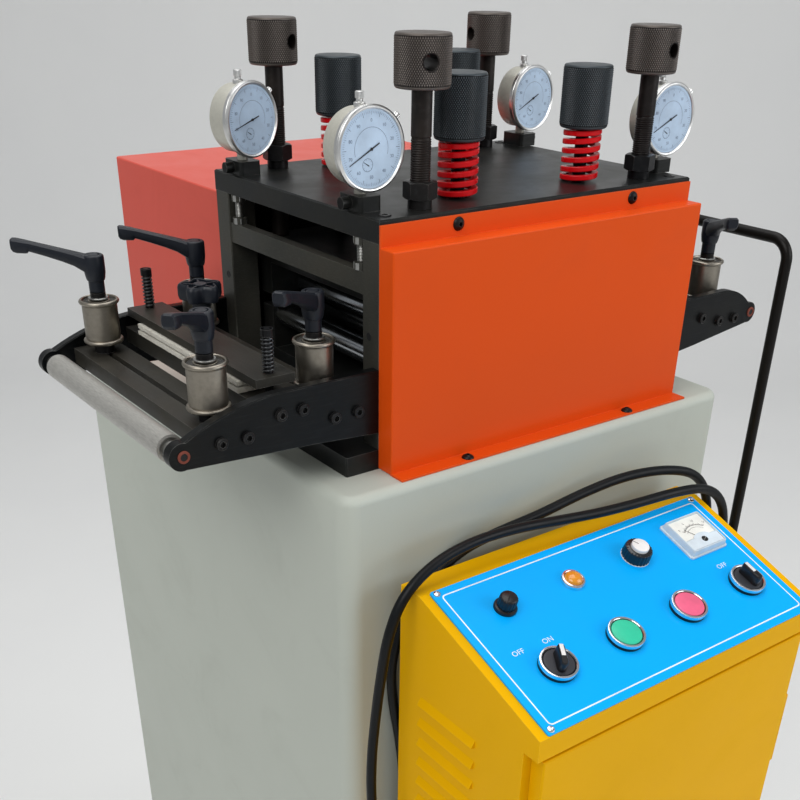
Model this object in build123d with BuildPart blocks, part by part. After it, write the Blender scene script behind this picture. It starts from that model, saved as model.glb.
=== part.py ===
"""Sheet straightening machine on a sheet-metal pedestal, with its control console standing in front.

Millimetres, +Z up, +X the way the sheet travels, -Y the operator's side.
The origin is on the ground, at the centre of the pedestal's foot.
"""
import os
from math import cos, radians, sin, sqrt, tan

from build123d import *

os.makedirs("parts", exist_ok=True)

# Pedestal
pedestal_length = 396
pedestal_width = 470
pedestal_height = 950
pedestal_corner_radius = 14
pedestal_top_radius = 7

# Head: base plate, corner posts and top plate
head_length = 300
head_width = 226
head_height = 174
head_margin_entry = 52
head_margin_front = 34
base_thickness = 15
base_overhang_entry = 28
base_overhang_exit = 8
top_thickness = 15
post_length = 24
post_width = 20
post_chamfer = 0.8
plate_chamfer = 1

# Straightening rolls and what carries them
pass_height = 70
roll_diameter = 18
roll_journal_diameter = 8
roll_face_length = 164
roll_pitch = 44
roll_chamfer = 0.8
roll_end_gap = 1
journal_inset = 1.5
roll_opening = 5.5
journal_clearance = 0.1
carriage_side_gap = 6
carriage_end_margin = 1
carriage_front_gap = 8
carriage_bottom = 104
carriage_thickness = 18
cheek_width = 16
cheek_height = 26
bed_thickness = 18
bed_cheek_top = 68

# Cross beams over the two mouths of the head
beam_thickness = 8
beam_height = 15
beam_bottom = 122
beam_inset = 1
beam_stud_diameter = 6
beam_stud_inset = 8
beam_nut_width = 10
beam_nut_height = 5

# Adjusting screws
screw_entry_inset = 17
screw_exit_inset = 9
screw_edge_y = 19
screw_diameter = 13.8
screw_hole_diameter = 14.6
screw_seat_gap = 0.3
knob_diameter = 37.5
knob_height = 32
knob_bottom = 247.5
knob_chamfer = 1.6
knob_hole_diameter = 9.5
knob_hole_angles = (-110, -67, -83, -189)
lock_nut_width = 20.5
lock_nut_height = 11.5
lock_collar_diameter = 16.6
lock_collar_height = 6
lock_nut_turn = 20

# Lifting springs with their knurled caps
spring_entry_inset = 64
spring_exit_inset = 56
spring_edge_y = 37
cap_diameter = 36.5
cap_height = 42.5
cap_chamfer = 1.8
lift_rod_diameter = 10
rod_hole_diameter = 11.2
spring_height = 37.5
spring_outer_diameter = 29
spring_wire_width = 4.6
spring_wire_height = 3
spring_turns = 6
spring_end_gap = 0.35

# Dial gauges
gauge_entry_inset = 11
gauge_exit_inset = 3
gauge_front_inset = 38
gauge_rear_inset = 27
gauge_bezel_diameter = 53.5
gauge_bezel_depth = 6
gauge_body_diameter = 48
gauge_body_depth = 17
gauge_dial_recess = 1.4
gauge_dial_diameter = 48
gauge_centre_height = 39
gauge_stem_diameter = 8
gauge_stem_clearance = 0.2
gauge_stem_end_gap = 0.5
gauge_button_diameter = 6
gauge_button_height = 9
gauge_edge_radius = 2
gauge_turns = (0, 15, 0, 6)
block_length = 18
block_width = 26
block_height = 10
block_corner = 3
block_screw_diameter = 8
block_screw_length = 7

# Sheet-metal covers
sheet_thickness = 1.5
front_cover_depth = 16
front_cover_height = 157
front_cover_flange = 13
front_cover_upper_strip = 14
front_cover_radius = 1.2
cover_gap = 0.5
drive_cover_inset = 5
drive_cover_height = 156
drive_cover_depth = 208
drive_cover_edge = 3
drive_cover_top_radius = 1.5

# Entry and exit guides
guide_plate_thickness = 8
guide_overhang_far = 3
guide_chamfer = 0.8
guide_curve_rise = 3.5
guide_heel_rise = 4
nose_blend = 2
guide_top = 74.5
guide_bottom = 28
entry_nose_reach = 153
entry_nose_height = 46.5
entry_nose_radius = 9.5
entry_bend_reach = 84
exit_nose_reach = 108
exit_nose_height = 50
exit_nose_radius = 9
exit_bend_reach = 73
bar_width = 15
bar_height = 12
bar_top = 55.5
bar_slot = 5
entry_slots = (118, 35)
exit_slots = (73,)
guide_roller_inset = 20.1
guide_roller_bottom = 63
guide_roller_height = 33
guide_roller_flange_diameter = 30.2
guide_roller_body_diameter = 26.4
guide_roller_flange_height = 3
guide_roller_recess = 2
guide_roller_rim = 2.4
guide_roller_bore_gap = 0.1
post_pin_diameter = 8
post_foot_diameter = 15
post_foot_gap = 0.5
post_shank_diameter = 4.6
post_nut_diameter = 10
post_nut_height = 5
post_pin_top = 110

# Steel rollers at the noses
table_roller_diameter = 19
table_roller_end_gap = 10
table_axle_diameter = 8
table_axle_clearance = 0.1
table_spacer_diameter = 12
table_spacer_gap = 0.5
table_roller_cup_diameter = 15
table_roller_cup_depth = 2

# Felt wiper between the entry side plates
wiper_centre = 75
felt_width = 28
felt_length = 160
felt_shift = 4
felt_gap = 0.6
felt_lower_thickness = 4.7
felt_upper_thickness = 4.7
press_plate_width = 30
press_plate_thickness = 6
press_plate_margin = 5
support_bar_width = 32
support_bar_height = 12
press_screw_inset = 14
press_screw_diameter = 6
press_screw_head_diameter = 8.6
press_screw_head_height = 5
press_screw_top = 111
press_screw_clearance = 0.3
star_radius = 11
star_lobe_radius = 5.5
star_lobes = 5
star_height = 12
star_hub_diameter = 13
star_hub_height = 6
star_bottom = 102
star_stud_clearance = 0.2
star_edge_radius = 1

# Clamp levers
lever_hub_bottom = 101.5
lever_hub_top = 128.5
lever_hub_lower_diameter = 11.6
lever_hub_upper_diameter = 15.8
lever_reach = 57
lever_arm_width = 11
lever_arm_low = 116
lever_tip_low = 131
lever_tip_high = 141.5
lever_bore_clearance = 0.2
lever_edge = 2
lever_tip_edge = 4
entry_lever_angles = (154, 224, 158, 216)
exit_lever_angles = (235, 130)

# Feeler hoop over the exit
hoop_rod_diameter = 10
hoop_reach = 150
hoop_top = 107
hoop_foot_drop = 240
hoop_top_radius = 18
hoop_foot_radius = 26
hoop_flange_diameter = 34
hoop_flange_thickness = 6
hoop_socket_length = 14
hoop_socket_diameter = 18
hoop_socket_clearance = 0.1

# Control console
console_left = -161
console_width = 297
console_gap = 16
console_ledge = 22
console_top = 881
console_slope = 19.05
console_slope_length = 139.7
console_lip = 18
console_overhang = 14
console_wall = 2
console_floor_gap = 0.3
door_margin = 8
door_thickness = 12
door_bottom = 70
door_top_gap = 5
door_gap = 0.3
door_skin = 2
door_opening_margin = 22
door_edge_radius = 1.5
hinge_pin_diameter = 5
hinge_barrel_diameter = 9
hinge_barrel_length = 22
hinge_heights = (170, 700)
hinge_clearance = 0.1
hinge_edge_gap = 1
hinge_barrel_gap = 1
louvre_count = 10
louvre_pitch = 19
louvre_length = 64
louvre_first_drop = 85
louvre_depth = 3.5
louvre_back_inset = 27
louvre_drop = 6
louvre_foot_drop = 7
lock_diameter = 20
lock_height = 4
lock_level = 440
lock_inset = 24

# Console panel and what is on it
panel_length = 281
panel_depth = 138.7
panel_thickness = 1.5
panel_corner_radius = 2
panel_columns = (44, 111, 179, 248)
panel_rows = (35, 95)
switch_hole_diameter = 22
bezel_diameter = 29
bezel_height = 4
bezel_chamfer = 0.6
button_diameter = 21
button_stem = 9
button_proud = 2.5
button_chamfer = 0.8
selector_disc_height = 4
selector_handle_width = 7
selector_handle_length = 19.6
selector_handle_height = 10
selector_gap = 0.3
selector_disc_inset = 3
power_switch_angle = 62
mode_switch_angle = 90
speed_knob_diameter = 24
speed_knob_height = 13
speed_knob_cap_diameter = 14
speed_knob_cap_height = 3
speed_knob_taper = 4
speed_shaft_diameter = 6
speed_shaft_depth = 6
meter_width = 43
meter_depth = 40
meter_height = 7
meter_recess = 1.5
meter_shift_x = -4
meter_shift_y = -3
meter_frame = 2.5
meter_corner_radius = 2
meter_window_radius = 1
lamp_bezel_diameter = 19
lamp_lens_diameter = 14
lamp_bezel_height = 2.5
lamp_lens_height = 5
lamp_lens_taper = 12
fuse_base_diameter = 19
fuse_cap_diameter = 14
fuse_base_height = 3
fuse_cap_height = 9.5
fuse_cap_taper = 3

# Cables between the console and the pedestal
cable_diameter = 8
gland_length = 12
gland_diameter = 14
gland_hex_width = 16
gland_hex_length = 6
corner_share = 0.45
cable_1_route = (
    (148, -286, 640), (174, -286, 640), (194, -284, 661), (198, -281, 701), (188, -277, 746),
    (172, -273, 790), (163, -270, 832), (160, -268, 869), (142, -266, 897), (105, -262, 909),
    (62, -255, 911), (19, -250, 905), (-25, -249, 898), (-64, -248, 895), (-98, -243, 887),
    (-128, -243, 870), (-152, -243, 844), (-164, -243, 810), (-162, -243, 772), (-154, -243, 730),
    (-149, -243, 686), (-150, -243, 641), (-156, -243, 597), (-167, -245, 554), (-175, -254, 511),
    (-178, -267, 469), (-178, -280, 429), (-176, -289, 393), (-173, -291, 361), (-172, -273, 342),
    (-172, -247, 342),
)
cable_2_route = (
    (148, -308, 610), (174, -308, 610), (195, -306, 630), (202, -302, 669), (194, -296, 715),
    (179, -290, 760), (170, -287, 803), (167, -285, 842), (159, -284, 874), (136, -282, 892),
    (99, -279, 896), (58, -276, 896), (15, -272, 897), (-28, -268, 901), (-70, -265, 905),
    (-110, -264, 905), (-145, -266, 899), (-172, -268, 883), (-184, -267, 854), (-187, -263, 818),
    (-190, -260, 778), (-194, -260, 737), (-196, -263, 694), (-195, -271, 651), (-191, -281, 608),
    (-187, -292, 565), (-184, -302, 521), (-182, -309, 476), (-180, -313, 432), (-178, -314, 388),
    (-177, -311, 346), (-175, -304, 308), (-173, -292, 277), (-172, -273, 257), (-172, -247, 257),
)

# Places worked out from the sizes above
head_left = -pedestal_length / 2 + head_margin_entry
head_front = -pedestal_width / 2 + head_margin_front
head_place = Location((head_left, head_front, pedestal_height))
post_height = head_height - top_thickness - base_thickness
head_room = head_length - 2 * post_length - 2 * carriage_side_gap
lower_roll_count = int((head_room - roll_diameter) // roll_pitch) + 1
carriage_length = roll_pitch * (lower_roll_count - 1) + roll_diameter + 2 * carriage_end_margin
carriage_entry_end = (head_length - carriage_length) / 2
carriage_exit_end = carriage_entry_end + carriage_length
pedestal_front = -pedestal_width / 2
guide_far_face = head_width + guide_overhang_far
pedestal_exit_side = pedestal_length / 2


def save(piece, node, place=None):
    """Move a finished piece to its place, label it and write its STEP file."""
    placed = piece if place is None else piece.moved(place)
    placed.label = node
    export_step(placed, f"parts/{node}.step")


# Pedestal
with BuildPart() as pedestal:
    Box(pedestal_length, pedestal_width, pedestal_height, align=(Align.CENTER, Align.CENTER, Align.MIN))
    fillet(pedestal.edges().filter_by(Axis.Z), radius=pedestal_corner_radius)
    fillet(pedestal.faces().sort_by(Axis.Z)[-1].edges(), radius=pedestal_top_radius)
save(pedestal.part, "pedestal")

# Base plate, corner posts and top plate; these and all head pieces are drawn from the head's
# front left corner on the pedestal's top
with BuildPart() as base_plate:
    with Locations((-base_overhang_entry, 0, 0)):
        Box(
            head_length + base_overhang_entry + base_overhang_exit,
            head_width,
            base_thickness,
            align=(Align.MIN, Align.MIN, Align.MIN),
        )
    chamfer(base_plate.edges().filter_by(Axis.Z), length=plate_chamfer)
save(base_plate.part, "base_plate", head_place)

post_centres = [
    (x, y)
    for x in (post_length / 2, head_length - post_length / 2)
    for y in (post_width / 2, head_width - post_width / 2)
]
with BuildPart() as corner_posts:
    with BuildSketch(Plane.XY.offset(base_thickness)):
        with Locations(*post_centres):
            Rectangle(post_length, post_width)
    extrude(amount=post_height)
    chamfer(corner_posts.edges().filter_by(Axis.Z), length=post_chamfer)
save(corner_posts.part, "corner_posts", head_place)

screw_places = [
    (x, y)
    for x in (carriage_entry_end + screw_entry_inset, carriage_exit_end - screw_exit_inset)
    for y in (screw_edge_y, head_width - screw_edge_y)
]
spring_places = [
    (x, y)
    for x in (carriage_entry_end + spring_entry_inset, carriage_exit_end - spring_exit_inset)
    for y in (spring_edge_y, head_width - spring_edge_y)
]
gauge_places = [
    (x, y)
    for x in (gauge_entry_inset, head_length - gauge_exit_inset)
    for y in (gauge_front_inset, head_width - gauge_rear_inset)
]
with BuildPart() as top_plate:
    with BuildSketch(Plane.XY.offset(head_height - top_thickness)):
        with Locations((head_length / 2, head_width / 2)):
            Rectangle(head_length, head_width)
        with Locations(*screw_places):
            Circle(screw_hole_diameter / 2, mode=Mode.SUBTRACT)
        with Locations(*spring_places):
            Circle(rod_hole_diameter / 2, mode=Mode.SUBTRACT)
    extrude(amount=top_thickness)
    chamfer(top_plate.faces().sort_by(Axis.Z)[-1].outer_wire().edges(), length=plate_chamfer)
save(top_plate.part, "top_plate", head_place)

# Cross beams with the studs that hang them from the top plate
beam_length = head_width - 2 * post_width
stud_length = head_height - top_thickness - beam_bottom - beam_height
beam_centres = (beam_inset + beam_thickness / 2, head_length - beam_inset - beam_thickness / 2)
stud_edges = (post_width + beam_stud_inset, head_width - post_width - beam_stud_inset)
with BuildPart() as cross_beams:
    with BuildSketch(Plane.XY.offset(beam_bottom)):
        with Locations(*[(x, head_width / 2) for x in beam_centres]):
            Rectangle(beam_thickness, beam_length)
    extrude(amount=beam_height)
    with BuildSketch(Plane.XY.offset(beam_bottom + beam_height)):
        with Locations(*[(x, y) for x in beam_centres for y in stud_edges]):
            Circle(beam_stud_diameter / 2)
    extrude(amount=stud_length)
    for level in (beam_bottom + beam_height, head_height - top_thickness - beam_nut_height):
        with BuildSketch(Plane.XY.offset(level)):
            with Locations(*[(x, y) for x in beam_centres for y in stud_edges]):
                RegularPolygon(beam_nut_width / 2, 6, major_radius=False)
        extrude(amount=beam_nut_height)
save(cross_beams.part, "cross_beams", head_place)

# Lower roll bed and lower rolls
roll_radius = roll_diameter / 2
lower_roll_level = pass_height - roll_radius
upper_roll_level = pass_height + roll_opening + roll_radius
first_roll_x = head_length / 2 - roll_pitch * (lower_roll_count - 1) / 2
lower_roll_xs = [first_roll_x + roll_pitch * n for n in range(lower_roll_count)]
upper_roll_xs = [x + roll_pitch / 2 for x in lower_roll_xs[:-1]]
roll_near_end = (head_width - roll_face_length) / 2
cheek_near_edge = roll_near_end - roll_end_gap - cheek_width
cheek_edges = (cheek_near_edge, head_width - cheek_near_edge - cheek_width)
carriage_width = head_width - 2 * carriage_front_gap
bed_width = head_width - 2 * cheek_near_edge
journal_radius = roll_journal_diameter / 2


def roll_set(xs, level):
    """Rolls across the head at the given places, with a journal at each end."""
    with BuildPart() as rolls:
        with BuildSketch(Plane.XZ.offset(-roll_near_end)):
            with Locations(*[(x, level) for x in xs]):
                Circle(roll_radius)
        extrude(amount=-roll_face_length)
        chamfer(rolls.edges().filter_by(GeomType.CIRCLE), length=roll_chamfer)
        for end, way in ((roll_near_end, 1), (roll_near_end + roll_face_length, -1)):
            with BuildSketch(Plane.XZ.offset(-end)):
                with Locations(*[(x, level) for x in xs]):
                    Circle(journal_radius)
            extrude(amount=way * (cheek_width + roll_end_gap - journal_inset))
    return rolls.part


with BuildPart() as roll_bed:
    with BuildSketch(Plane.XY.offset(base_thickness)):
        with Locations((head_length / 2, head_width / 2)):
            Rectangle(carriage_length, bed_width)
    extrude(amount=bed_thickness)
    with BuildSketch(Plane.XY.offset(base_thickness + bed_thickness)):
        with Locations(*[(head_length / 2, y + cheek_width / 2) for y in cheek_edges]):
            Rectangle(carriage_length, cheek_width)
    extrude(amount=bed_cheek_top - base_thickness - bed_thickness)
    with BuildSketch(Plane.XZ):
        with Locations(*[(x, lower_roll_level) for x in lower_roll_xs]):
            Circle(journal_radius + journal_clearance)
    extrude(amount=-head_width, mode=Mode.SUBTRACT)
save(roll_bed.part, "roll_bed", head_place)
save(roll_set(lower_roll_xs, lower_roll_level), "lower_rolls", head_place)

# Upper roll carriage and upper rolls
with BuildPart() as roll_carriage:
    with BuildSketch(Plane.XY.offset(carriage_bottom)):
        with Locations((head_length / 2, head_width / 2)):
            Rectangle(carriage_length, carriage_width)
    extrude(amount=carriage_thickness)
    with BuildSketch(Plane.XY.offset(carriage_bottom)):
        with Locations(*[(head_length / 2, y + cheek_width / 2) for y in cheek_edges]):
            Rectangle(carriage_length, cheek_width)
    extrude(amount=-cheek_height)
    with BuildSketch(Plane.XZ):
        with Locations(*[(x, upper_roll_level) for x in upper_roll_xs]):
            Circle(journal_radius + journal_clearance)
    extrude(amount=-head_width, mode=Mode.SUBTRACT)
save(roll_carriage.part, "roll_carriage", head_place)
save(roll_set(upper_roll_xs, upper_roll_level), "upper_rolls", head_place)
carriage_top = carriage_bottom + carriage_thickness

# Adjusting screws: a knurled head with a cross hole on a threaded stem
for number, (place, hole_angle) in enumerate(zip(screw_places, knob_hole_angles), 1):
    hole_direction = (cos(radians(hole_angle)), sin(radians(hole_angle)), 0)
    knob_middle = knob_bottom + knob_height / 2
    with BuildPart() as adjusting_screw:
        with BuildSketch(Plane.XY.offset(carriage_top + screw_seat_gap)):
            Circle(screw_diameter / 2)
        extrude(amount=knob_bottom - carriage_top - screw_seat_gap)
        with BuildSketch(Plane.XY.offset(knob_bottom)):
            Circle(knob_diameter / 2)
        extrude(amount=knob_height)
        chamfer(
            adjusting_screw.edges().filter_by(GeomType.CIRCLE).sort_by(SortBy.RADIUS)[-2:],
            length=knob_chamfer,
        )
        with BuildSketch(Plane(origin=(0, 0, knob_middle), z_dir=hole_direction)):
            Circle(knob_hole_diameter / 2)
        extrude(amount=knob_diameter, both=True, mode=Mode.SUBTRACT)
    screw_place = head_place * Location((place[0], place[1], 0))
    save(adjusting_screw.part, f"adjusting_screw_{number}", screw_place)

with BuildPart() as lock_nuts:
    with BuildSketch(Plane.XY.offset(head_height)):
        with Locations(*screw_places):
            Circle(lock_collar_diameter / 2)
            Circle(screw_hole_diameter / 2, mode=Mode.SUBTRACT)
    extrude(amount=lock_collar_height)
    with BuildSketch(Plane.XY.offset(head_height + lock_collar_height)):
        with Locations(*screw_places):
            RegularPolygon(lock_nut_width / 2, 6, major_radius=False, rotation=lock_nut_turn)
            Circle(screw_hole_diameter / 2, mode=Mode.SUBTRACT)
    extrude(amount=lock_nut_height)
save(lock_nuts.part, "lock_nuts", head_place)

# Lifting springs, each between the top plate and a knurled cap on a rod from the carriage
cap_bottom = head_height + spring_height
with BuildPart() as spring_caps:
    with BuildSketch(Plane.XY.offset(cap_bottom)):
        with Locations(*spring_places):
            Circle(cap_diameter / 2)
    extrude(amount=cap_height)
    chamfer(spring_caps.edges().filter_by(GeomType.CIRCLE), length=cap_chamfer)
    with BuildSketch(Plane.XY.offset(carriage_top)):
        with Locations(*spring_places):
            Circle(lift_rod_diameter / 2)
    extrude(amount=cap_bottom - carriage_top)
save(spring_caps.part, "spring_caps", head_place)

coil_radius = (spring_outer_diameter - spring_wire_width) / 2
coil_rise = spring_height - spring_wire_height - 2 * spring_end_gap
with BuildPart() as lift_spring:
    with BuildLine() as coil:
        Helix(pitch=coil_rise / spring_turns, height=coil_rise, radius=coil_radius)
    with BuildSketch(Plane(origin=coil.line @ 0, z_dir=coil.line % 0, x_dir=(1, 0, 0))):
        Rectangle(spring_wire_width, spring_wire_height)
    sweep(path=coil.line, is_frenet=True)
spring_bottom = head_height + spring_end_gap + spring_wire_height / 2
lift_springs = Compound(
    children=[lift_spring.part.moved(Location((x, y, spring_bottom))) for x, y in spring_places]
)
save(lift_springs, "lift_springs", head_place)

# Dial gauges in clamp blocks
gauge_face_offset = -gauge_body_depth / 2 - gauge_bezel_depth
with BuildPart() as dial_gauge:
    with BuildSketch(Plane.XZ.offset(-gauge_face_offset)):
        Circle(gauge_bezel_diameter / 2)
    extrude(amount=-gauge_bezel_depth)
    fillet(dial_gauge.edges().filter_by(GeomType.CIRCLE).sort_by(Axis.Y)[0], radius=gauge_edge_radius)
    with BuildSketch(Plane.XZ.offset(-gauge_face_offset)):
        Circle(gauge_dial_diameter / 2)
    extrude(amount=-gauge_dial_recess, mode=Mode.SUBTRACT)
    with BuildSketch(Plane.XZ.offset(gauge_body_depth / 2)):
        Circle(gauge_body_diameter / 2)
    extrude(amount=-gauge_body_depth)
    fillet(dial_gauge.edges().filter_by(GeomType.CIRCLE).sort_by(Axis.Y)[-1], radius=gauge_edge_radius)
    with BuildSketch():
        Circle(gauge_stem_diameter / 2)
    extrude(amount=-(gauge_centre_height - gauge_stem_end_gap))
    with BuildSketch():
        Circle(gauge_button_diameter / 2)
    extrude(amount=gauge_body_diameter / 2 + gauge_button_height)
gauges = Compound(
    children=[
        dial_gauge.part.moved(Location((x, y, head_height + gauge_centre_height), (0, 0, turn)))
        for (x, y), turn in zip(gauge_places, gauge_turns)
    ]
)
save(gauges, "dial_gauges", head_place)

with BuildPart() as gauge_block:
    with BuildSketch():
        RectangleRounded(block_length, block_width, block_corner)
        Circle(gauge_stem_diameter / 2 + gauge_stem_clearance, mode=Mode.SUBTRACT)
    extrude(amount=block_height)
    with BuildSketch(Plane.YZ.offset(-block_length / 2)):
        with Locations((0, block_height / 2)):
            Circle(block_screw_diameter / 2)
    extrude(amount=-block_screw_length)
blocks = Compound(
    children=[
        gauge_block.part.moved(Location((x, y, head_height), (0, 0, 180 if x > head_length / 2 else 0)))
        for x, y in gauge_places
    ]
)
save(blocks, "gauge_blocks", head_place)

# Front cover: a shallow pan with a strip above and a flange below
with BuildPart() as front_cover:
    with Locations((head_length / 2, -front_cover_depth / 2, front_cover_height / 2)):
        Box(head_length, front_cover_depth, front_cover_height)
    fillet(front_cover.faces().sort_by(Axis.Y)[0].edges().filter_by(Axis.Z), radius=front_cover_radius)
    fillet(front_cover.faces().sort_by(Axis.Y)[0].edges().filter_by(Axis.X), radius=front_cover_radius)
    pan_inner_height = front_cover_height - sheet_thickness
    with Locations((head_length / 2, -(front_cover_depth - sheet_thickness) / 2, pan_inner_height / 2)):
        Box(
            head_length - 2 * sheet_thickness,
            front_cover_depth - sheet_thickness,
            pan_inner_height,
            mode=Mode.SUBTRACT,
        )
    strip_height = front_cover_upper_strip + sheet_thickness
    strip_middle = front_cover_height - sheet_thickness + strip_height / 2
    with Locations((head_length / 2, -sheet_thickness / 2, strip_middle)):
        Box(head_length, sheet_thickness, strip_height)
    flange_depth = front_cover_flange + sheet_thickness
    flange_middle = -front_cover_depth + sheet_thickness - flange_depth / 2
    with Locations((head_length / 2, flange_middle, sheet_thickness / 2)):
        Box(head_length, flange_depth, sheet_thickness)
save(front_cover.part, "front_cover", head_place)

# Drive cover behind the head
drive_cover_length = head_length - 2 * drive_cover_inset
with BuildPart() as drive_cover:
    with BuildSketch():
        with Locations((head_length / 2, head_width + cover_gap + drive_cover_depth / 2)):
            Rectangle(drive_cover_length, drive_cover_depth)
    extrude(amount=drive_cover_height)
    fillet(drive_cover.edges().filter_by(Axis.Z), radius=drive_cover_edge)
    fillet(drive_cover.faces().sort_by(Axis.Z)[-1].edges(), radius=drive_cover_top_radius)
save(drive_cover.part, "drive_cover", head_place)


def side_plate_outline(nose_reach, nose_height, nose_radius, bend_reach):
    """Side plate profile: level at the head, falling in a curve to a round nose."""
    nose_rise = sqrt(nose_radius**2 - nose_blend**2)
    nose_top = (nose_reach - nose_blend, nose_height + nose_rise)
    nose_tip = (nose_reach + nose_radius, nose_height)
    nose_low = (nose_reach - nose_blend, nose_height - nose_rise)
    bend_middle = ((bend_reach + nose_top[0]) / 2, (guide_top + nose_top[1]) / 2 + guide_curve_rise)
    with BuildLine() as outline:
        Line((0, guide_top), (bend_reach, guide_top))
        ThreePointArc((bend_reach, guide_top), bend_middle, nose_top)
        ThreePointArc(nose_top, nose_tip, nose_low)
        heel = (nose_reach / 3, guide_bottom + guide_heel_rise)
        Polyline(nose_low, heel, (0, guide_bottom), (0, guide_top))
    return outline.line


def side_plates(outline):
    """A pair of side plates from one profile, drawn outward from the head along X."""
    with BuildPart() as plates:
        for near_face in (0, guide_far_face - guide_plate_thickness):
            with BuildSketch(Plane.XZ.offset(-near_face)):
                make_face(outline)
            extrude(amount=-guide_plate_thickness)
        chamfer(plates.edges().filter_by(GeomType.LINE).filter_by(Axis.X), length=guide_chamfer)
    return plates.part


entry_outline = side_plate_outline(entry_nose_reach, entry_nose_height, entry_nose_radius, entry_bend_reach)
exit_outline = side_plate_outline(exit_nose_reach, exit_nose_height, exit_nose_radius, exit_bend_reach)
exit_place = Location((head_length, 0, 0))
entry_plates = side_plates(entry_outline).mirror(Plane.YZ)
exit_plates = side_plates(exit_outline).moved(exit_place)
save(Compound(children=[entry_plates, exit_plates]), "guide_side_plates", head_place)

# Cross bars in pairs, each pair leaving a slot, and the wiper's support bar
guide_inner_near = guide_plate_thickness
guide_inner_far = guide_far_face - guide_plate_thickness
guide_clear_width = guide_inner_far - guide_inner_near
guide_middle = (guide_inner_near + guide_inner_far) / 2
slot_xs = [-reach for reach in entry_slots] + [head_length + reach for reach in exit_slots]
bar_shift = (bar_slot + bar_width) / 2
with BuildPart() as cross_bars:
    with BuildSketch(Plane.XY.offset(bar_top - bar_height)):
        with Locations(*[(x + side * bar_shift, guide_middle) for x in slot_xs for side in (-1, 1)]):
            Rectangle(bar_width, guide_clear_width)
    extrude(amount=bar_height)
    support_top = pass_height - felt_gap / 2 - felt_lower_thickness
    with BuildSketch(Plane.XY.offset(support_top - support_bar_height)):
        with Locations((-wiper_centre, guide_middle)):
            Rectangle(support_bar_width, guide_clear_width)
    extrude(amount=support_bar_height)
save(cross_bars.part, "guide_cross_bars", head_place)

# Felt wiper
press_plate_bottom = pass_height + felt_gap / 2 + felt_upper_thickness
with BuildPart() as felt_pads:
    felt_layers = ((support_top, felt_lower_thickness), (pass_height + felt_gap / 2, felt_upper_thickness))
    for level, thickness in felt_layers:
        with BuildSketch(Plane.XY.offset(level)):
            with Locations((-wiper_centre - felt_shift, guide_middle)):
                Rectangle(felt_width, felt_length)
        extrude(amount=thickness)
save(felt_pads.part, "felt_pads", head_place)

press_screw_ys = (guide_inner_near + press_screw_inset, guide_inner_far - press_screw_inset)
with BuildPart() as press_plate:
    with BuildSketch(Plane.XY.offset(press_plate_bottom)):
        with Locations((-wiper_centre, guide_middle)):
            Rectangle(press_plate_width, guide_clear_width - 2 * press_plate_margin)
        with Locations(*[(-wiper_centre, y) for y in press_screw_ys]):
            Circle(press_screw_diameter / 2 + press_screw_clearance, mode=Mode.SUBTRACT)
    extrude(amount=press_plate_thickness)
save(press_plate.part, "press_plate", head_place)

press_plate_top = press_plate_bottom + press_plate_thickness
with BuildPart() as press_screws:
    with BuildSketch(Plane.XY.offset(support_top)):
        with Locations(*[(-wiper_centre, y) for y in press_screw_ys]):
            Circle(press_screw_diameter / 2)
    extrude(amount=press_screw_top - press_screw_head_height - support_top)
    with BuildSketch(Plane.XY.offset(press_screw_top - press_screw_head_height)):
        with Locations(*[(-wiper_centre, y) for y in press_screw_ys]):
            Circle(press_screw_head_diameter / 2)
    extrude(amount=press_screw_head_height)
    with BuildSketch(Plane.XY.offset(press_plate_top)):
        with Locations((-wiper_centre, guide_middle)):
            Circle(press_screw_diameter / 2)
    extrude(amount=star_bottom + star_hub_height - press_plate_top)
save(press_screws.part, "press_screws", head_place)

with BuildPart() as star_knob:
    with BuildSketch(Plane.XY.offset(star_bottom + star_hub_height)):
        Circle(star_radius)
        with PolarLocations(star_radius, star_lobes):
            Circle(star_lobe_radius)
    extrude(amount=star_height)
    fillet(star_knob.faces().sort_by(Axis.Z)[-1].edges(), radius=star_edge_radius)
    with BuildSketch(Plane.XY.offset(star_bottom)):
        Circle(star_hub_diameter / 2)
    extrude(amount=star_hub_height)
    with BuildSketch(Plane.XY.offset(star_bottom)):
        Circle(press_screw_diameter / 2 + star_stud_clearance)
    extrude(amount=star_hub_height + star_stud_clearance, mode=Mode.SUBTRACT)
save(star_knob.part, "star_knob", head_place * Location((-wiper_centre, guide_middle, 0)))

# Nose rollers on fixed axles
nose_rollers = (
    ("entry_roller", -entry_nose_reach, entry_nose_height),
    ("exit_roller", head_length + exit_nose_reach, exit_nose_height),
)
table_roller_length = guide_clear_width - 2 * table_roller_end_gap
for node, x, level in nose_rollers:
    with BuildPart() as nose_roller:
        with BuildSketch(Plane.XZ.offset(-guide_inner_near - table_roller_end_gap)):
            Circle(table_roller_diameter / 2)
            Circle(table_axle_diameter / 2 + table_axle_clearance, mode=Mode.SUBTRACT)
        extrude(amount=-table_roller_length)
        for end, way in ((table_roller_end_gap, -1), (guide_clear_width - table_roller_end_gap, 1)):
            with BuildSketch(Plane.XZ.offset(-guide_inner_near - end)):
                Circle(table_roller_cup_diameter / 2)
            extrude(amount=way * table_roller_cup_depth, mode=Mode.SUBTRACT)
    save(nose_roller.part, node, head_place * Location((x, 0, level)))

axles = []
for node, x, level in nose_rollers:
    with BuildPart() as axle:
        with BuildSketch(Plane.XZ.offset(-guide_inner_near)):
            Circle(table_axle_diameter / 2)
        extrude(amount=-guide_clear_width)
        spacer_length = table_roller_end_gap - table_spacer_gap
        for start in (guide_inner_near, guide_inner_far - spacer_length):
            with BuildSketch(Plane.XZ.offset(-start)):
                Circle(table_spacer_diameter / 2)
            extrude(amount=-spacer_length)
    axles.append(axle.part.moved(Location((x, 0, level))))
save(Compound(children=axles), "roller_axles", head_place)

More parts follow.
